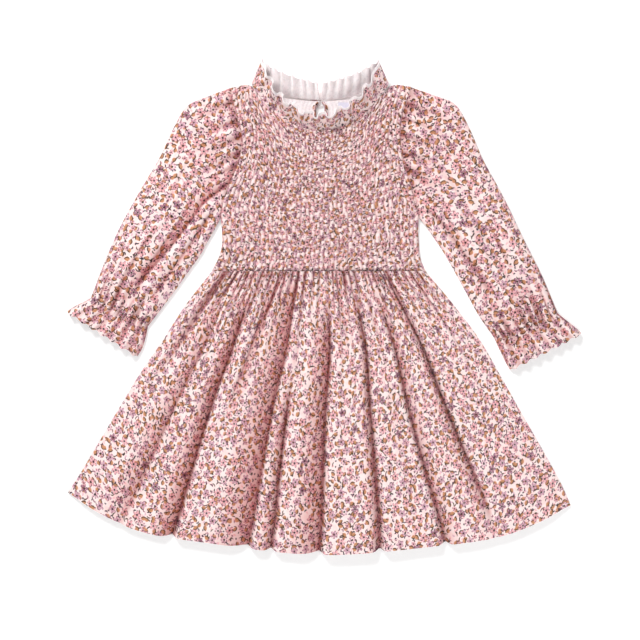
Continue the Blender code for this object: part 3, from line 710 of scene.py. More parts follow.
def flowerGroup():
    # a ring of petals round a dot, with a dark line on their outer sides
    sizes = {"Radius": 3.0, "Petals": 5.0, "Petal": 1.8, "Dot": 0.9}
    masks = ("Petal", "Line", "Blush", "Dot")
    group, given, out, w, (local, there, size) = motifGroup("flowerLayer", sizes, masks)
    x, y, _ = w.split(local)
    angle, reach = w.math("ARCTAN2", y, x), w.over(w.vector("LENGTH", local), size)
    share = w.over(2 * math.pi, given.outputs["Petals"])
    turned = w.math("MODULO", w.plus(angle, 4 * math.pi), share)
    folded = w.minus(turned, w.times(share, 0.5))
    # from a petal's middle: how far outwards and to the side
    beyond = w.minus(w.times(reach, w.math("COSINE", folded)), given.outputs["Radius"])
    aside = w.times(reach, w.math("SINE", folded))
    away = w.vector("LENGTH", w.join(w.times(beyond, 0.78), aside))
    inside = w.minus(given.outputs["Petal"], away)
    petal = w.times(w.ramp(inside, -0.15, 0.15), there)
    lean = w.minus(w.times(aside, 0.7), w.times(beyond, -0.5))
    rim = w.minus(1.0, w.ramp(inside, 0.40, 0.80))
    line = w.times(rim, w.ramp(lean, -0.4, 0.6))
    w.put(out.inputs["Petal"], petal)
    w.put(out.inputs["Line"], w.times(petal, line))
    w.put(out.inputs["Blush"], w.times(petal, w.ramp(beyond, -1.8, 1.6)))
    dot = w.minus(1.0, w.ramp(w.over(reach, given.outputs["Dot"]), 0.8, 1.2))
    w.put(out.inputs["Dot"], w.times(dot, there))
    return group


def leafGroup():
    # a pointed oval, with its dark side and vein
    sizes = {"Long": 4.0, "Wide": 2.0}
    group, given, out, w, (local, there, size) = motifGroup("leafLayer", sizes, ("Leaf", "Line"))
    x, y, _ = w.split(local)
    along = w.over(x, w.times(size, given.outputs["Long"]))
    square = w.times(along, along)
    edge = w.times(given.outputs["Wide"], w.minus(1.0, square))
    bowed = w.minus(y, w.times(square, 0.6))
    inside = w.minus(edge, w.math("ABSOLUTE", bowed))
    leaf = w.times(w.ramp(inside, -0.15, 0.2), there)
    rim = w.minus(1.0, w.ramp(inside, 1.10, 1.60))
    side = w.times(rim, w.ramp(bowed, -0.3, 0.3))
    vein = w.minus(1.0, w.ramp(w.math("ABSOLUTE", w.plus(bowed, 0.25)), 0.10, 0.5))
    w.put(out.inputs["Leaf"], leaf)
    line = w.math("MAXIMUM", side, w.times(vein, 0.5))
    w.put(out.inputs["Line"], w.times(leaf, line))
    return group


def strokeGroup():
    # a bent brush stroke that thins towards its ends
    sizes = {"Radius": 3.0, "Spread": 1.0, "Wide": 0.5}
    group, given, out, w, (local, there, size) = motifGroup("strokeLayer", sizes, ("Stroke",))
    bent = w.vector("ADD", local, w.join(w.times(given.outputs["Radius"], 0.8), 0.0))
    x, y, _ = w.split(bent)
    off = w.math("ABSOLUTE", w.minus(w.vector("LENGTH", bent), given.outputs["Radius"]))
    turn = w.over(w.math("ABSOLUTE", w.math("ARCTAN2", y, x)), given.outputs["Spread"])
    thin = w.minus(1.0, w.math("POWER", turn, 2.5))
    wide = w.times(w.times(given.outputs["Wide"], size), thin)
    stroke = w.ramp(w.minus(wide, off), -0.12, 0.18)
    w.put(out.inputs["Stroke"], w.times(stroke, there))
    return group


def weaveGroup():
    # plain-weave threads, as a height
    group, given, out = makeGroup(
        "plainWeave",
        [("Place", "NodeSocketVector", None), ("Pitch", "NodeSocketFloat", 0.45)],
        [("Height", "NodeSocketFloat")],
    )
    w = Wiring(group)
    x, y, _ = w.split(given.outputs["Place"])
    turns = w.over(2 * math.pi, given.outputs["Pitch"])
    warp = w.math("SINE", w.times(x, turns))
    weft = w.math("SINE", w.times(y, turns))
    w.put(out.inputs["Height"], w.times(w.plus(w.times(warp, weft), 1.0), 0.5))
    return group


# A layer of one motif: its cell, seed, the chances for which a cell holds it, and sizes in mm.
Flower = namedtuple("Flower", "cell seed low high jitter radius petals petal dot colour tip line")
flowers = [
    Flower(13.0, 7.1, 0.00, 0.28, 0.14, 3.3, 5, 1.60, 1.20, "mauve", "lilac", "plum"),
    Flower(13.0, 7.1, 0.28, 0.36, 0.14, 3.3, 5, 1.60, 1.25, "plum", "mauve", "slate"),
    Flower(13.0, 7.1, 0.36, 0.54, 0.14, 3.3, 7, 1.05, 1.25, "lilac", "mauve", "plum"),
    Flower(13.0, 7.1, 0.54, 0.85, 0.14, 3.0, 5, 1.45, 1.15, "rose", "pink", "plum"),
    Flower(10.0, 12.3, 0.00, 0.18, 0.25, 2.1, 5, 1.05, 1.00, "rose", "pink", "plum"),
]
Leaf = namedtuple("Leaf", "cell seed low high jitter long wide colour line")
leaves = [
    Leaf(9.0, 2.7, 0.0, 0.38, 0.25, 3.4, 2.3, "ochre", "olive"),
    Leaf(9.0, 2.7, 0.38, 0.60, 0.25, 3.1, 2.2, "clay", "olive"),
    Leaf(11.5, 9.4, 0.0, 0.74, 0.20, 3.7, 2.4, "ochre", "olive"),
]
Stroke = namedtuple("Stroke", "cell seed low high jitter radius spread wide colour")
strokes = [
    Stroke(8.0, 3.3, 0.0, 0.48, 0.30, 1.6, 1.5, 1.05, "pink"),
    Stroke(9.0, 5.9, 0.0, 0.30, 0.30, 2.2, 1.1, 1.05, "lilac"),
    Stroke(9.0, 4.4, 0.0, 0.72, 0.40, 2.2, 1.2, 0.80, "slate"),
    Stroke(12.0, 8.2, 0.0, 0.60, 0.40, 4.2, 0.8, 0.72, "olive"),
    Stroke(8.5, 6.6, 0.0, 0.60, 0.40, 1.5, 1.9, 0.72, "plum"),
    Stroke(10.0, 0.7, 0.0, 0.50, 0.40, 3.0, 0.9, 0.72, "olive"),
    Stroke(6.5, 14.2, 0.0, 0.44, 0.40, 0.9, 1.6, 0.95, "slate"),
]


def floralGroup():
    # the whole print at a place on the cut cloth, in mm
    group, given, out = makeGroup(
        "floralPrint", [("Place", "NodeSocketVector", None)], [("Colour", "NodeSocketColor")]
    )
    w = Wiring(group)
    motifs = {"flower": flowerGroup(), "leaf": leafGroup(), "stroke": strokeGroup()}
    place = given.outputs["Place"]
    wash, _ = w.noise(place, 0.13, 3.0)
    colour = w.mix(w.ramp(wash, 0.42, 0.66), floral["ground"], floral["wash"])

    def layer(kind, s, *labels):
        sizes = {label.title(): float(getattr(s, label)) for label in labels}
        return w.group(motifs[kind], Place=place, Cell=s.cell, Seed=s.seed, Low=s.low, High=s.high,
                       Jitter=s.jitter, **sizes)

    for s in strokes:
        colour = w.mix(layer("stroke", s, "radius", "spread", "wide")["Stroke"], colour, floral[s.colour])
    for s in leaves:
        leaf = layer("leaf", s, "long", "wide")
        colour = w.mix(leaf["Leaf"], colour, floral[s.colour])
        colour = w.mix(leaf["Line"], colour, floral[s.line])
    for s in flowers:
        flower = layer("flower", s, "radius", "petals", "petal", "dot")
        colour = w.mix(flower["Petal"], colour, floral[s.colour])
        colour = w.mix(flower["Blush"], colour, floral[s.tip])
        colour = w.mix(flower["Line"], colour, floral[s.line])
        colour = w.mix(flower["Dot"], colour, floral["dot"])
    w.put(out.inputs["Colour"], colour)
    return group


groups = {"print": floralGroup(), "weave": weaveGroup()}


def newMaterial(name, roughness, sheen=0.0):
    material = bpy.data.materials.new(name)
    material.use_nodes = True
    surface = material.node_tree.nodes["Principled BSDF"]
    surface.inputs["Roughness"].default_value = roughness
    surface.inputs["Sheen Weight"].default_value = sheen
    surface.inputs["Specular IOR Level"].default_value = 0.25
    return material, Wiring(material.node_tree), surface


def clothPlace(w):
    node = w.tree.nodes.new("ShaderNodeUVMap")
    node.uv_map = "cloth"
    return w.vector("MULTIPLY", node.outputs[0], (1000.0, 1000.0, 1000.0))


def addBump(w, surface, height, distance, strength):
    node = w.tree.nodes.new("ShaderNodeBump")
    node.inputs["Distance"].default_value = distance * mm
    node.inputs["Strength"].default_value = strength
    w.put(node.inputs["Height"], height)
    w.put(surface.inputs["Normal"], node.outputs[0])


def shaded(w, colour, label, shadow):
    # painted shade: darkens the cloth's colour where one of its own point values says that it lies deep in a
    # fold or a crack
    depth = w.tree.nodes.new("ShaderNodeAttribute")
    depth.attribute_name = label
    return w.mix(depth.outputs["Fac"], colour, shadow, "MULTIPLY")


def printedCotton(name, shadow, crackShade, veil=None, veilShare=(0.0, 0.0)):
    # veil is the bare back of the cloth, through which the print shows a little
    material, w, surface = newMaterial(name, 0.85, 0.1)
    place = clothPlace(w)
    colour = w.group(groups["print"], Place=place)["Colour"]
    slub, _ = w.noise(place, 0.6, 3.0)
    if veil:
        share = w.tree.nodes.new("ShaderNodeMapRange")
        w.put(share.inputs["Value"], slub)
        w.put(share.inputs["To Min"], veilShare[0])
        w.put(share.inputs["To Max"], veilShare[1])
        colour = w.mix(share.outputs[0], colour, veil)
    # painted shade in the folds, then a darker painted shade in the narrowest cracks (the pinch values)
    colour = shaded(w, shaded(w, colour, "fold", shadow), "pinch", crackShade)
    w.put(surface.inputs["Base Color"], colour)
    height = w.group(groups["weave"], Place=place, Pitch=0.5)["Height"]
    addBump(w, surface, w.plus(w.times(height, 0.35), slub), 0.25, 0.35)
    return material


def plainCloth(name, colour, pitch, roughness=0.8):
    material, w, surface = newMaterial(name, roughness, 0.15)
    place = clothPlace(w)
    tone, _ = w.noise(place, 0.35, 3.0)
    darker = tuple(0.86 * c for c in colour)
    w.put(surface.inputs["Base Color"], w.mix(tone, darker, colour))
    addBump(w, surface, w.group(groups["weave"], Place=place, Pitch=pitch)["Height"], 0.2, 0.5)
    return material


def thingMaterial(name, colour, roughness, scale):
    # for small hard or corded things with no cloth map, from object coordinates
    material, w, surface = newMaterial(name, roughness)
    coordinates = w.tree.nodes.new("ShaderNodeTexCoord")
    tone, _ = w.noise(coordinates.outputs["Object"], scale, 3.0)
    darker = tuple(0.80 * c for c in colour)
    w.put(surface.inputs["Base Color"], w.mix(tone, darker, colour))
    addBump(w, surface, tone, 0.1, 0.3)
    return material


# painted shade colours, multiplied into the cloth where it lies in folds and in narrow cracks, on the print
# and on the bare back
clothShades = {
    "fold": (0.62, 0.37, 0.36),
    "pinch": (0.38, 0.20, 0.20),
    "reverseFoldShade": (0.84, 0.78, 0.79),
    "reverseCrackShade": (0.70, 0.60, 0.62),
    "veil": (0.90, 0.86, 0.865),
    "veilShare": (0.80, 0.92),
}
reverseShades = [clothShades[name] for name in ("reverseFoldShade", "reverseCrackShade", "veil", "veilShare")]
materials = {
    "print": printedCotton("floralCotton", clothShades["fold"], clothShades["pinch"]),
    "reverse": printedCotton("cottonReverse", *reverseShades),
    "label": plainCloth("labelTape", (0.74, 0.72, 0.84), 0.7),
    "thread": thingMaterial("seamThread", (0.86, 0.66, 0.64), 0.7, 900.0),
    "button": thingMaterial("pearlButton", (0.82, 0.58, 0.60), 0.3, 160.0),
    "cord": thingMaterial("loopCord", (0.86, 0.78, 0.76), 0.8, 1400.0),
}
cloth = [materials["print"], materials["reverse"]]
print("materials ready")


# Stitches
def stitchTree():
    # even stitches along a path, each a small rounded bar turned along it
    tree = bpy.data.node_groups.new("stitchRow", "GeometryNodeTree")
    tree.interface.new_socket("Path", in_out="INPUT", socket_type="NodeSocketGeometry")
    for label, value in stitch.items():
        tree.interface.new_socket(label, in_out="INPUT", socket_type="NodeSocketFloat").default_value = value
    thread = tree.interface.new_socket("Thread", in_out="INPUT", socket_type="NodeSocketMaterial")
    thread.default_value = materials["thread"]
    tree.interface.new_socket("Stitches", in_out="OUTPUT", socket_type="NodeSocketGeometry")
    add = tree.nodes.new
    given, out = add("NodeGroupInput"), add("NodeGroupOutput")
    curve, spaced = add("GeometryNodeMeshToCurve"), add("GeometryNodeResampleCurve")
    tangent, turn = add("GeometryNodeInputTangent"), add("FunctionNodeAlignRotationToVector")
    size, bar = add("ShaderNodeCombineXYZ"), add("GeometryNodeMeshIcoSphere")
    placed, real = add("GeometryNodeInstanceOnPoints"), add("GeometryNodeRealizeInstances")
    dyed = add("GeometryNodeSetMaterial")
    spaced.mode = "LENGTH"
    turn.axis = "X"
    bar.inputs["Radius"].default_value = 0.5
    for source, sent, target, taken in (
        (given, "Path", curve, "Mesh"),
        (curve, "Curve", spaced, "Curve"),
        (given, "Spacing", spaced, "Length"),
        (tangent, "Tangent", turn, "Vector"),
        (given, "Length", size, "X"),
        (given, "Thickness", size, "Y"),
        (given, "Thickness", size, "Z"),
        (spaced, "Curve", placed, "Points"),
        (bar, "Mesh", placed, "Instance"),
        (turn, "Rotation", placed, "Rotation"),
        (size, "Vector", placed, "Scale"),
        (placed, "Instances", real, "Geometry"),
        (real, "Geometry", dyed, "Geometry"),
        (given, "Thread", dyed, "Material"),
        (dyed, "Geometry", out, "Stitches"),
    ):
        tree.links.new(source.outputs[sent], target.inputs[taken])
    return tree


stitchNodes = stitchTree()


def stitchRows(name, rows):
    # rows of points in mm, each a line of stitches, as one piece
    mesh = bpy.data.meshes.new(name)
    points, edges = [], []
    for row in rows:
        first = len(points)
        points += [tuple((np.array(p) + (centreLineX, 0, 0)) * mm) for p in row]
        edges += [(n, n + 1) for n in range(first, len(points) - 1)]
    mesh.from_pydata(points, edges, [])
    piece = newObject(name, mesh)
    modifier = piece.modifiers.new("stitches", "NODES")
    modifier.node_group = stitchNodes
    shown = piece.evaluated_get(bpy.context.evaluated_depsgraph_get())
    made = bpy.data.meshes.new_from_object(shown)
    piece.modifiers.remove(modifier)
    piece.data = made
    piece.data.shade_smooth()
    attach(piece, "root")
    return piece


def raised(points):
    # a row's points, just above the cloth
    return moved(points, stitchRise).reshape(-1, 3)


# Bodice
def bodicePlace(across, down, part):
    top = follow(neckline, across)[0 if part == "front" else 1]
    straight = waistY + (shoulderY - waistY) * (1 - down)
    y = straight + (top - shoulderY) * (1 - down) ** 1.6
    left, right = follow(bodiceSides, y)
    return partWay(left, right, across), y, left, right


def frontSurface(across, down):
    x, y, left, right = bodicePlace(across, down, "front")
    toSide = np.minimum(x - left, right - x)
    drop = soft((underarmY - y) / 20.0 + 0.3) * (1 - soft(toSide / edgeRoll))
    shoulder = 1 - soft(down * (shoulderY - waistY) / edgeRoll)
    drop = np.where(np.abs(across - 0.5) > 0.37, np.maximum(drop, shoulder), drop)
    inside = partWay(frontInsideZ, frontEdgeZ, drop)
    rowPlace = bodice["rows"] * down + 0.10 * wander(across * 40, down * 5, 2.0)
    row = np.floor(rowPlace)
    late = soft((rowPlace - row - 0.8) / 0.2)
    offset = [wander(across * 23, (row + k) * 7.3, 1.7) for k in (0, 1)]
    phase = bodice["ridges"] * across + bodice["stagger"] * (offset[0] * (1 - late) + offset[1] * late)
    phase = phase + 0.16 * wander(across * 31, down * 17, 1.0)
    ridge = ridgeOf(phase) ** 0.8
    puff = np.abs(np.sin(np.pi * rowPlace)) ** 0.7
    uneven = 0.80 + 0.40 * scattered(np.floor(phase), row)
    relief = bodice["relief"] * ridge * (1 - bodice["pinch"] * (1 - puff)) * uneven
    turned = bodice["hidden"] * (0.5 - np.mod(phase, 1)) / bodice["ridges"]
    u = (across + turned - 0.5) * (right - left) * mm * bodice["fullness"]
    seam = soft(toSide / 2.5)
    x = x + np.where(across < 0.5, -0.2, 0.2) * (1 - seam)
    shoulderRise = 1.3 * (1 - soft(toSide / 8.0)) * soft((y - underarmY) / 14.0)
    z = inside + clothWall + relief * (0.4 + 0.6 * seam) + shoulderRise
    # painted shade: dark slivers at the bottoms of the ridges and along the shirred rows, and a painted
    # shade near the armhole seams
    crackShade = 0.70 * (1 - ridge) ** 5 + 0.30 * (1 - puff) ** 2 * ridge
    return stacked(x, y, z), {"fold": 0.02 * (1 - ridge) + 0.25 * (1 - seam), "pinch": crackShade}, u


def buildFrontBodice():
    across, down = gridOf(bodice["columns"], bodice["lines"])
    points, shades, u = frontSurface(across, down)
    v = -down * bodice["cutLength"]
    piece = clothMesh("frontBodice", points, below(points), u, v, shades, cloth)
    rows = []
    for row in range(1, bodice["rows"] + 1):
        across = np.linspace(0.02, 0.98, 500)[None]
        level = np.full_like(across, min(row / bodice["rows"], 0.985))
        rows.append(raised(frontSurface(across, level)[0]))
    threads = stitchRows("shirringThreads", rows)
    flat = (bodice["shirredWidth"] * bodice["fullness"], bodice["cutLength"])
    cut = {"area": 0.067, "held": "gathered", "rests_on": ["back_bodice"], "with_pieces": [threads]}
    cottonPiece(piece, "front_bodice", flat, **cut)


def liftOf(x, y):
    # how far the back's neck edge stands off the table
    near = soft((y - (keyhole["topY"] - neckLift["reach"])) / (neckLift["reach"] * 0.45))
    aside = soft((np.abs(x - keyhole["x"]) - neckLift["level"]) / neckLift["slope"])
    return neckLift["height"] * near * (1 - aside)


def slitHalfWidth(y):
    opened = soft((keyhole["shutY"] - y) / (keyhole["shutY"] - keyhole["wideY"]))
    upper = partWay(keyhole["slit"], keyhole["halfWidth"], opened)
    rounding = np.maximum(0.0, keyhole["endY"] + keyhole["halfWidth"] - y)
    lower = np.sqrt(np.maximum(0.0, keyhole["halfWidth"] ** 2 - rounding**2))
    return np.where(y > keyhole["wideY"], upper, lower)


def backSurface(across, down, side):
    # one half of the back, whose middle edge goes round the slit
    wholeAcross = 0.5 * (across + (side > 0))
    x, y = bodicePlace(wholeAcross, down, "back")[:2]
    middle = bodicePlace(np.full_like(across, 0.5), down, "back")[0]
    keyholeX = keyhole["x"] + side * slitHalfWidth(y)
    reach = soft((1 - across) if side > 0 else across)
    x = x + (keyholeX - middle) * reach**2
    phase = bodice["ridges"] * wholeAcross + 0.2 * wander(across * 20, down * 15, 3.0)
    ridge = np.sin(2 * np.pi * phase)
    puff = np.abs(np.sin(np.pi * bodice["rows"] * down)) ** 0.7
    z = backZ + liftOf(x, y) + backBodice["ripple"] * ridge * (0.5 + 0.5 * puff)
    # painted shade, 0.3 all over and rising and falling with the ripples
    return stacked(x, y, z + thinCloth / 2), {"fold": 0.3 + 0.3 * ridge}


def buildBackBodice():
    for side, word in ((-1, "left"), (1, "right")):
        across, step = gridOf(backBodice["columns"] // 2, backBodice["lines"])
        down = step**1.15
        points, shades = backSurface(across, down, side)
        lower = moved(points, -thinCloth)
        u = (points[..., 0] - keyhole["x"]) * mm * backBodice["fullness"] + backBodice["printStart"]
        v = -down * backBodice["cutLength"]
        # its printed side faces the table
        piece = clothMesh(f"backBodice_{word}", lower, points, u, v, shades, cloth)
        flat = (backBodice["cutWidth"], backBodice["cutLength"])
        cottonPiece(piece, "back_bodice", flat, area=0.0245, held="laid")


# Skirt
def valleyPlace(valley, down):
    return throughThree(valley.waist, valley.middle, valley.hem, down)


def skirtAcross(columns, down):
    # the columns run down along the valleys, so that each valley has a line of points
    steps = skirt["valleySteps"]
    shares = [0.0, *(round(steps * valleyPlace(v, 0.5)) / steps for v in skirtValleys), 1.0]
    rows = []
    for row, depth in zip(columns, down[:, 0]):
        rows.append(np.interp(row, shares, [0.0, *(valleyPlace(v, depth) for v in skirtValleys), 1.0]))
    return np.array(rows)


def skirtHollow(across, down):
    # how deep the valleys cut into the crown, and the painted shade and the painted dark line that lie in
    # them
    kept, shade, crackShade = np.ones_like(across), np.zeros_like(across), np.zeros_like(across)
    for valley in skirtValleys:
        away = across - valleyPlace(valley, down)
        reach = np.where(away > 0, valley.right, valley.left) * skirt["valleyReach"]
        wall = np.maximum(0.0, 1 - np.abs(away) / reach)
        begun = within(down, valley.first, valley.last, 0.2, 0.25)
        kept *= 1 - valley.depth * wall**2 * begun
        # the painted shade reaches less far on a valley's sharp side and further on its broad side
        sharpSide = (away > 0) == (valley.right < valley.left)
        wide = np.maximum(0.0, 1 - np.abs(away) / (reach * np.where(sharpSide, 0.5, 1.6)))
        # painted shade is stronger in the valleys towards the left of the skirt
        strength = valley.depth * (1.50 - 0.85 * valley.middle)
        shade = np.maximum(shade, strength * wide**0.9 * begun)
        fading = within(down, valley.first, 1.35 * valley.last - 0.35, 0.2, 0.5)
        # a narrow painted dark line of shade along each valley's bottom
        crackShade = np.maximum(crackShade, valley.depth * np.exp(-((away / skirt["crackShadeWidth"]) ** 2)) * fading)
    return 1 - kept, shade, crackShade


def skirtPlace(across, down, drop):
    left, right = follow(skirtSides, down)
    hem = follow(hemLine, across)[0] - drop * soft((down - 0.6) / 0.4)
    top = waistY - seamGap
    return partWay(left, right, across), partWay(top, hem, down), right - left


def gatherFade(down, share):
    reach = skirt["gatherReach"] * share
    return np.maximum(0.0, 1 - down / (3.4 * reach)) * np.exp(-down / reach)


def skirtSurface(columns, down):
    across = skirtAcross(columns, down)
    hollow, shade, crackShade = skirtHollow(across, down)
    grown = partWay(skirt["foldAtWaist"], 1, soft(down / 0.45))
    height = np.maximum(0.0, follow(skirtCrown, across)[0]) * grown * (1 - hollow)
    edge = within(across, 0, 1, 0.05, 0.05)
    x, y, width = skirtPlace(across, down, skirt["hemDrop"] * (0.5 - hollow) * edge)
    phase = skirt["gathers"] * columns + 0.42 * wander(columns * 26, 0 * down, 5.0)
    ridge = ridgeOf(phase)
    fade = gatherFade(down, 0.55 + 0.9 * scattered(np.floor(phase), 1.0))
    between = gatherFade(down, 0.35 + 1.5 * scattered(np.round(phase), 2.0) ** 1.5)
    rim = within(across, 0, 1, 0.03, 0.03)
    uneven = 1 + 0.5 * wander(across * 53, 0 * down, 8.0)
    gather = skirt["gatherRelief"] * fade * ridge * rim * uneven
    crease = creased(skirtCreases, across, down, width) * rim
    z = frontEdgeZ + clothWall + height + gather + np.maximum(crease, -0.8 * height)
    # painted shade: a rose shade in the valleys and between the gathers under the waist, and dark lines of
    # shade at the valley bottoms, between the gathers and in sunk creases
    sunk = np.maximum(0, -crease)
    shades = {
        "fold": (shade * soft(down / 0.1) + 0.18 * between * (1 - ridge)) * rim + 0.3 * sunk,
        "pinch": 0.9 * crackShade + 1.4 * between * (1 - ridge) ** 5 * rim + (sunk / 2.2) ** 2,
    }
    turned = skirt["hidden"] * fade * np.sin(2 * np.pi * phase) / (2 * np.pi * skirt["gathers"])
    cutWidth = partWay(skirt["cutAtWaist"], skirt["cutAtHem"], down)
    return stacked(x, y, z), shades, (across + turned - 0.5) * cutWidth


def buildFrontSkirt():
    columns, step = gridOf(skirt["columns"], skirt["lines"])
    down = step**1.2
    points, shades, u = skirtSurface(columns, down)
    u, v = u + skirt["printStart"], -down * skirt["cutLength"]
    piece = clothMesh("frontSkirt", points, below(points), u, v, shades, cloth)
    along = np.linspace(0.004, 0.996, 900)[None]
    levels = [np.full_like(along, skirt[name]) for name in ("hemStitch", "waistStitch")]
    threads = stitchRows("skirtStitches", [raised(skirtSurface(along, level)[0]) for level in levels])
    flat = (skirt["cutAtHem"], skirt["cutLength"])
    cut = {"area": 0.180, "held": "gathered", "rests_on": ["back_skirt"], "with_pieces": [threads]}
    cottonPiece(piece, "front_skirt", flat, **cut)


def buildBackSkirt():
    across, step = gridOf(backSkirt["columns"], backSkirt["lines"])
    x, y, _ = skirtPlace(across, step, 0.0)
    phase = 2 * np.pi * (backSkirt["troughs"] * across + 0.6 * wander(across * 9, step * 3, 7.0))
    z = backZ + backSkirt["ripple"] * np.sin(phase) * (1 - 0.6 * wander(across * 5, step * 4, 1.5))
    top = stacked(x, y, np.clip(z, 0.3, 0.92) + thinCloth / 2)
    cutWidth = partWay(backSkirt["cutAtWaist"], backSkirt["cutAtHem"], step)
    u, v = (across - 0.5) * cutWidth + backSkirt["printStart"], -step * skirt["cutLength"]
    # painted shade, 0.3 all over and rising and falling with the ripples
    shades = {"fold": 0.3 + 0.2 * np.sin(phase)}
    piece = clothMesh("backSkirt", moved(top, -thinCloth), top, u, v, shades, cloth)
    flat = (backSkirt["cutAtHem"], skirt["cutLength"])
    cottonPiece(piece, "back_skirt", flat, area=0.165, held="laid")


# Sleeves and cuffs
def sleevePlan(sections, across, along, armhole):
    outerX, outerY, innerX, innerY = follow(sections, along)
    x, y = partWay(outerX, innerX, across), partWay(outerY, innerY, across)
    if armhole:
        side = 1 if sections[0].outerX > 0 else -1
        first = sections[0]
        seamY = partWay(first.outerY, first.innerY, across)
        seamX = follow(bodiceSides, seamY)[1 if side > 0 else 0] + side * seamGap
        fade = (1 - np.minimum(1.0, along / sleeve["armholeReach"])) ** 2
        x = x + (seamX - partWay(first.outerX, first.innerX, across)) * fade
    return x, y


def sleeveFolds(folds, across, along):
    z = sleeve["flat"] + 0 * across
    for f in folds:
        middle = partWay(f.start, f.end, along)
        grown = soft((along - f.first) / 0.2 + 0.2) if f.first else 1.0
        z = z + f.height * bump(across, middle, f.halfWidth) * grown
    return z


def sleeveValleys(valleys, across, along, width):
    # how far each crisp fold falls, with its painted shade and a painted dark line of shade along its bottom
    fall, shade, crackShade = np.zeros_like(across), np.zeros_like(across), np.zeros_like(across)
    for v in valleys:
        away = (across - throughThree(v.head, v.middle, v.cuff, along)) * width
        wall = np.maximum(0.0, 1 - np.abs(away) / np.where(away > 0, v.inner, v.outer))
        begun = within(along, v.first, v.last, 0.14, 0.14)
        fall = np.maximum(fall, v.fall * wall**1.5 * begun)
        shade = np.maximum(shade, v.shade * wall * begun)
        crackShade = np.maximum(crackShade, v.shade * np.exp(-((away / sleeve["crackShadeWidth"]) ** 2)) * begun)
    return fall, shade, crackShade


def sleeveGathers(across, along, seed):
    head = np.exp(-((along / sleeve["headReach"]) ** 2)) * soft((0.86 - across) / 0.2)
    end = np.exp(-(((1 - along) / sleeve["cuffReach"]) ** 2))
    phase = sleeve["headGathers"] * across + 0.35 * wander(across * 17, along * 4, seed)
    ridge = ridgeOf(phase)
    cuffPhase = sleeve["cuffGathers"] * across + 0.35 * wander(across * 21, along * 4, seed + 1)
    cuffRidge = ridgeOf(cuffPhase)
    rise = sleeve["headRelief"] * head * ridge + sleeve["cuffRelief"] * end * cuffRidge
    # the gathers' rise, and how deep each point lies between them, which is turned into painted shade
    return rise, head * (1 - ridge) + 1.1 * end * (1 - cuffRidge)


def squared(across):
    # a flat tube's height across it, rounded down at both edges
    return np.sqrt(np.maximum(0.0, 1 - np.abs(2 * across - 1) ** sleeve["squareness"]))


def closed(rows):
    return np.concatenate([rows, rows[:, :1]], axis=1)


def tube(name, node, sections, plan, upper, sizes, cut):
    # a flattened tube: over the top from its outer edge, and back underneath
    columns = sizes["columns"]
    turn, along = np.meshgrid(np.arange(columns) / columns, np.linspace(0, 1, sizes["lines"] + 1))
    topShare = sleeve["topShare"]
    onTop = turn < topShare
    share = np.where(onTop, turn / topShare, (1 - turn) / (1 - topShare))
    across = 0.5 - 0.5 * np.cos(np.pi * share)
    square = squared(across)
    reach, shades = upper(across, along)
    edgeZ = sleeve["edgeZ"]
    x, y = plan(across, along)
    z = partWay(edgeZ, np.where(onTop, reach, sleeve["underZ"]), square)
    first, last = np.stack(plan(0 * along, along)), np.stack(plan(0 * along + 1, along))
    inset = shellThickness / np.linalg.norm(last - first, axis=0)
    inAcross = across + inset * ((1 - across) ** 8 - across**8)
    inX, inY = plan(inAcross, along)
    inReach = upper(inAcross, along)[0] - shellThickness * 1.12
    inZ = partWay(edgeZ, np.where(onTop, inReach, sleeve["underZ"] + shellThickness), square)
    # the print's place follows the cloth down the tube's sides, and starts anew underneath
    outward = np.sign(sections[0].outerX) * np.where(across < 0.5, 1, -1)
    fallen = np.where(onTop, reach - z, 0.0)
    start = sleeve["printStarts"][0 if "left" in name else 1]
    u = closed(x + outward * fallen) * mm + start + np.where(closed(onTop), 0.0, 3.0)
    v = closed(y) * mm
    # underneath, where the tube lies on the table, both painted shades are set to 0.15
    shades = {label: np.where(onTop, value, 0.15) for label, value in shades.items()}
    piece = clothMesh(name, stacked(x, y, z), stacked(inX, inY, inZ), u, v, shades, cloth, ring=True)
    across = np.linspace(0.05, 0.95, 400)[None]
    rows = []
    for level in (np.full_like(across, share) for share in sizes["stitched"]):
        x, y = plan(across, level)
        height = partWay(edgeZ, upper(across, level)[0], squared(across))
        rows.append(raised(stacked(x, y, height)))
    threads = stitchRows(f"{name}Stitches", rows)
    flat = (cut["wide"], cut["long"])
    cottonPiece(piece, node, flat, area=cut["area"], held="gathered", with_pieces=[threads])


def buildSleeve(side, sections, folds, valleys, creases, seed):
    def upper(across, along):
        rise, fold = sleeveGathers(across, along, seed)
        width = partWay(sleeve["wideAtHead"], sleeve["wideAtCuff"], along)
        crease = creased(creases, across, along, width)
        fall, dark, crackShade = sleeveValleys(valleys, across, along, width)
        z = sleeveFolds(folds, across, along) - fall
        seam = soft(along / 0.05)
        z = partWay(armholeZ, z, seam)
        # painted shade: darker where the cloth slopes down off the flat top, between the gathers, in sunk
        # creases and near the armhole seam, with painted dark lines in the folds
        slope = np.clip((sleeve["flat"] + 1.6 - z) / 2.5, 0, 1)
        shade = 0.15 * slope + 0.55 * fold + 0.2 * np.maximum(0, -crease) + 0.3 * (1 - seam) + dark
        shades = {"fold": shade, "pinch": 0.6 * crackShade + 0.6 * fold**4 + 0.25 * (1 - seam)}
        return z + rise * (0.3 + 0.7 * seam) + crease, shades

    def plan(across, along):
        return sleevePlan(sections, across, along, True)

    tube(f"{side}Sleeve", f"{side}_sleeve", sections, plan, upper, sleeve, sleeveCut)


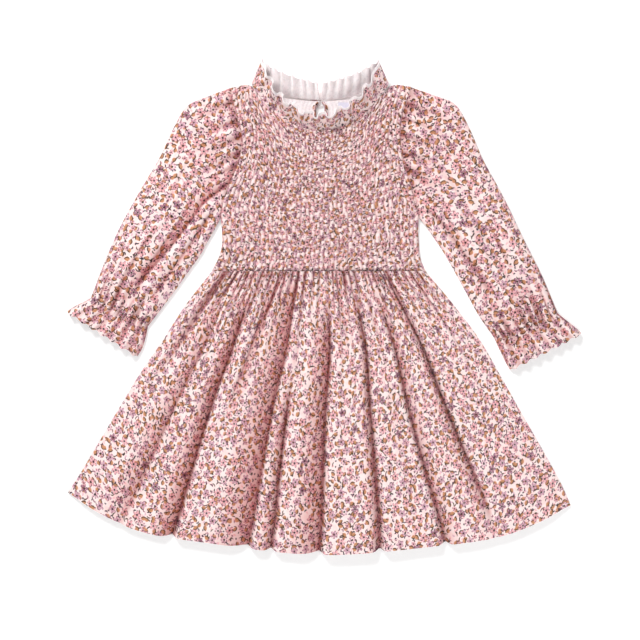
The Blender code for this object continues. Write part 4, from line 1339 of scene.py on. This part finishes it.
def buildCuff(side, sections, folds, seed):
    first = sections[0]
    width = math.hypot(first.innerX - first.outerX, first.innerY - first.outerY)
    turned = 1 if first.outerX < 0 else -1
    downX = turned * (first.innerY - first.outerY) / width
    downY = -turned * (first.innerX - first.outerX) / width

    def wave(across):
        phase = cuff["waves"] * across + 0.16 * wander(across * 15, 0 * across, seed)
        return ridgeOf(phase)

    def plan(across, along):
        x, y = sleevePlan(sections, across, along, False)
        swing = cuff["hemSwing"] * (wave(across) - 0.5) * along + seamGap * (1 - along)
        return x + downX * swing, y + downY * swing

    def upper(across, along):
        start = sleeveFolds(folds, across, np.ones_like(along))
        rise, fold = sleeveGathers(across, np.ones_like(along), seed)
        end = sleeve["flat"] + cuff["flare"] + cuff["waveRelief"] * wave(across)
        puckers = np.sin(2 * np.pi * cuff["puckers"] * across + 2 * wander(across * 8, along, seed))
        fine = 0.5 * puckers * np.exp(-along / 0.35)
        z = partWay(start, end, soft(along)) + rise * (1 - soft(along / 0.7)) + fine
        # painted shade in the troughs of the waves and between the gathers, with painted dark lines in the
        # gathers
        shade = 0.65 * (1 - wave(across)) ** 2 * soft(along / 0.4)
        shade = shade + 0.55 * fold * (1 - soft(along / 0.7))
        return z, {"fold": shade, "pinch": 0.6 * (fold * (1 - soft(along / 0.6))) ** 3}

    tube(f"{side}CuffRuffle", f"{side}_cuff_ruffle", sections, plan, upper, cuff, cuffCut)


# Neck ruffle
def ruffleMiddle(along, up):
    x, y, z, leanX, leanY, leanZ, height = follow(neckRuffle, along)
    ahead = follow(neckRuffle, np.minimum(1, along + 0.004))
    behind = follow(neckRuffle, np.maximum(0, along - 0.004))
    lean = np.stack([leanX, leanY, leanZ], axis=-1)
    lean /= np.linalg.norm(lean, axis=-1, keepdims=True)
    run = np.stack(ahead[:3], axis=-1) - np.stack(behind[:3], axis=-1)
    out = np.cross(run, lean)
    out /= np.linalg.norm(out, axis=-1, keepdims=True)
    uneven = 1 + 0.25 * wander(along * 60, 0 * along, 3.0)
    swing = partWay(ruffle["atBase"], ruffle["atTop"], up**1.3) * uneven
    turn = np.abs(np.abs(along - 0.5) - 0.26)
    calm = partWay(ruffle["calm"], 1, soft(turn / 0.06))
    front = np.clip((along - ruffle["frontFirst"]) / ruffle["frontLong"], 0, 1)
    back = (along - ruffle["frontLong"] * front) / (1 - ruffle["frontLong"])
    turns = ruffle["frontWaves"] * front + 2 * ruffle["backWaves"] * back
    phase = 2 * np.pi * (turns + 0.22 * wander(along * 50, 0 * along, 6.0))
    inFront = soft(0.5 + (0.24 - np.abs(along - 0.5)) / 0.04)
    strength = partWay(ruffle["backShare"], 1, inFront)
    wave = swing * calm * strength * np.sin(phase)
    lift = 1 + 0.05 * np.cos(phase)
    base = np.stack([x, y, z], axis=-1)
    run /= np.linalg.norm(run, axis=-1, keepdims=True)
    base = base - run * (ruffle["meander"] * up * calm * strength * np.sin(2 * phase))[..., None]
    return base + lean * (height * up * lift)[..., None] + out * wave[..., None], np.sin(phase)


def frontShare(along):
    # 1 along the front neck seam, where the ruffle's edge tucks under the bodice's
    return within(along, 0.235, 0.765, 0.03, 0.03)


def buildNeckRuffle():
    along, up = gridOf(ruffle["columns"], ruffle["lines"])
    up = up * (1 + ruffle["tuck"]) - ruffle["tuck"]
    middle, wave = ruffleMiddle(along, np.maximum(up, 0))
    x, y = middle[..., 0], middle[..., 1] - ruffle["middleY"]
    reach = ruffle["tuckReach"] * np.minimum(up, 0) / ruffle["tuck"] * frontShare(along)
    middle = middle + stacked(-x / np.hypot(x, y), -y / np.hypot(x, y), 0.3) * reach[..., None]
    wall = 0.3 * normalsOf(middle)
    # painted shade in the waves' troughs, far stronger on the back than along the front seam, and fading
    # towards the top edge
    pleatShadeStrength = 0.06 + ruffle["pleatShade"] * (1 - frontShare(along))
    shades = {"fold": pleatShadeStrength * (0.5 - 0.5 * wave) * (1 - 0.5 * up)}
    u, v = along * ruffle["cutLong"] + ruffle["printStart"], up * ruffle["cutWide"]
    sides = (middle + wall, middle - wall)
    piece = clothMesh("neckRuffle", *sides, u, v, shades, cloth, paleRows=ruffle["paleRows"])
    cottonPiece(piece, "neck_ruffle", (ruffle["cutLong"], ruffle["cutWide"]), held="gathered")


# The back's slit, label, button and loop
def overBack(x, y):
    return backTopZ + liftOf(x, y) + thinCloth / 2


def buildBinding():
    # down the slit's left side, round its end and up the right one
    turn, out = gridOf(140, 8)
    end = keyhole["endY"] + keyhole["halfWidth"]
    side = np.where(turn < 0.5, -1.0, 1.0)
    straight = binding["straightShare"]
    share = np.minimum(turn, 1 - turn) / straight
    y = partWay(binding["topY"], end, np.minimum(share, 1))
    away = binding["gap"] + binding["wide"] * out
    angle = np.pi / 2 * np.clip((share - 1) / (0.5 / straight - 1), 0, 1)
    reach = keyhole["halfWidth"] + away
    sideways = np.where(share < 1, slitHalfWidth(y) + away, reach * np.cos(angle))
    x = keyhole["x"] + side * sideways
    y = np.where(share < 1, y, end - reach * np.sin(angle))
    z = overBack(x, y) + shellThickness + binding["rounding"] * np.sin(np.pi * out)
    points = stacked(x, y, z)
    u, v = turn * binding["cutLong"] + binding["printStart"], out * binding["shownWide"]
    # painted shade, darkest along the slit's edge and fading outwards
    shades = {"pinch": (1 - out) ** 1.5}
    piece = clothMesh("keyholeBinding", points, moved(points, -thinCloth), u, v, shades, cloth)
    flat = (binding["cutLong"], binding["cutWide"])
    cottonPiece(piece, "keyhole_binding", flat, held="laid", area=0.00042)


def buildLabel():
    across, down = gridOf(24, 20)
    x, y = tape["x"] + tape["wide"] * (across - 0.5), tape["y"] + tape["high"] * (0.5 - down)
    points = stacked(x, y, overBack(x, y) + 0.6 + 0.25 * np.sin(3 * across + 1) * down)
    u, v = across * tape["wide"] * mm, down * tape["high"] * mm
    sides = [materials["label"]] * 2
    piece = clothMesh("neckLabel", points, moved(points, -thinCloth), u, v, {}, sides)
    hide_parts("neck_label")


def dressCadNode(name, material):
    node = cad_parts[name]
    node.data.materials.clear()
    node.data.materials.append(material)


buildFrontBodice()
buildBackBodice()
print("bodice ready")
buildFrontSkirt()
buildBackSkirt()
print("skirt ready")
for side, sections, cuffSections, folds, valleys, creases, seed in (
    ("left", leftSleeve, leftCuff, leftFolds, leftValleys, leftCreases, 1.0),
    ("right", rightSleeve, rightCuff, rightFolds, rightValleys, rightCreases, 4.5),
):
    buildSleeve(side, sections, folds, valleys, creases, seed)
    buildCuff(side, cuffSections, folds, seed)
print("sleeves ready")
buildNeckRuffle()
buildBinding()
buildLabel()
dressCadNode("neck_button", materials["button"])
dressCadNode("button_loop", materials["cord"])
print("neck ready")


# Table, light and camera
def buildStage():
    bpy.ops.mesh.primitive_plane_add(size=8.0, location=(0, 0, -0.0003))
    floor = bpy.context.object
    floor.name = "paleTable"
    material = bpy.data.materials.new("paleTable")
    material.use_nodes = True
    surface = material.node_tree.nodes["Principled BSDF"]
    surface.inputs["Base Color"].default_value = (0.94, 0.94, 0.94, 1)
    surface.inputs["Roughness"].default_value = 0.9
    surface.inputs["Emission Color"].default_value = (1, 1, 1, 1)
    surface.inputs["Emission Strength"].default_value = 0.14
    floor.data.materials.append(material)


def addLight(name, place, size, power):
    # an area light that faces the middle of the table
    data = bpy.data.lights.new(name, "AREA")
    data.size = size
    data.energy = power
    light = newObject(name, data)
    light.location = place
    x, y, z = place
    light.rotation_euler = (math.atan2(math.hypot(x, y), z), 0, math.atan2(y, x) + math.pi / 2)


def buildCamera():
    data = bpy.data.cameras.new("camera")
    data.lens = 135
    camera = newObject("camera", data)
    camera.location = (-0.0049, -0.0131, 2.736)
    bpy.context.scene.camera = camera


buildStage()
addLight("windowLight", (-0.7, 1.5, 1.35), 0.8, 41.5)
addLight("fillLight", (0.3, -1.6, 1.5), 1.0, 23.5)
world = bpy.data.worlds.new("studio")
world.use_nodes = True
world.node_tree.nodes["Background"].inputs["Color"].default_value = (1.0, 0.99, 0.985, 1)
world.node_tree.nodes["Background"].inputs["Strength"].default_value = 0.42
bpy.context.scene.world = world
bpy.context.scene.view_settings.view_transform = "Standard"
buildCamera()
print("stage ready")
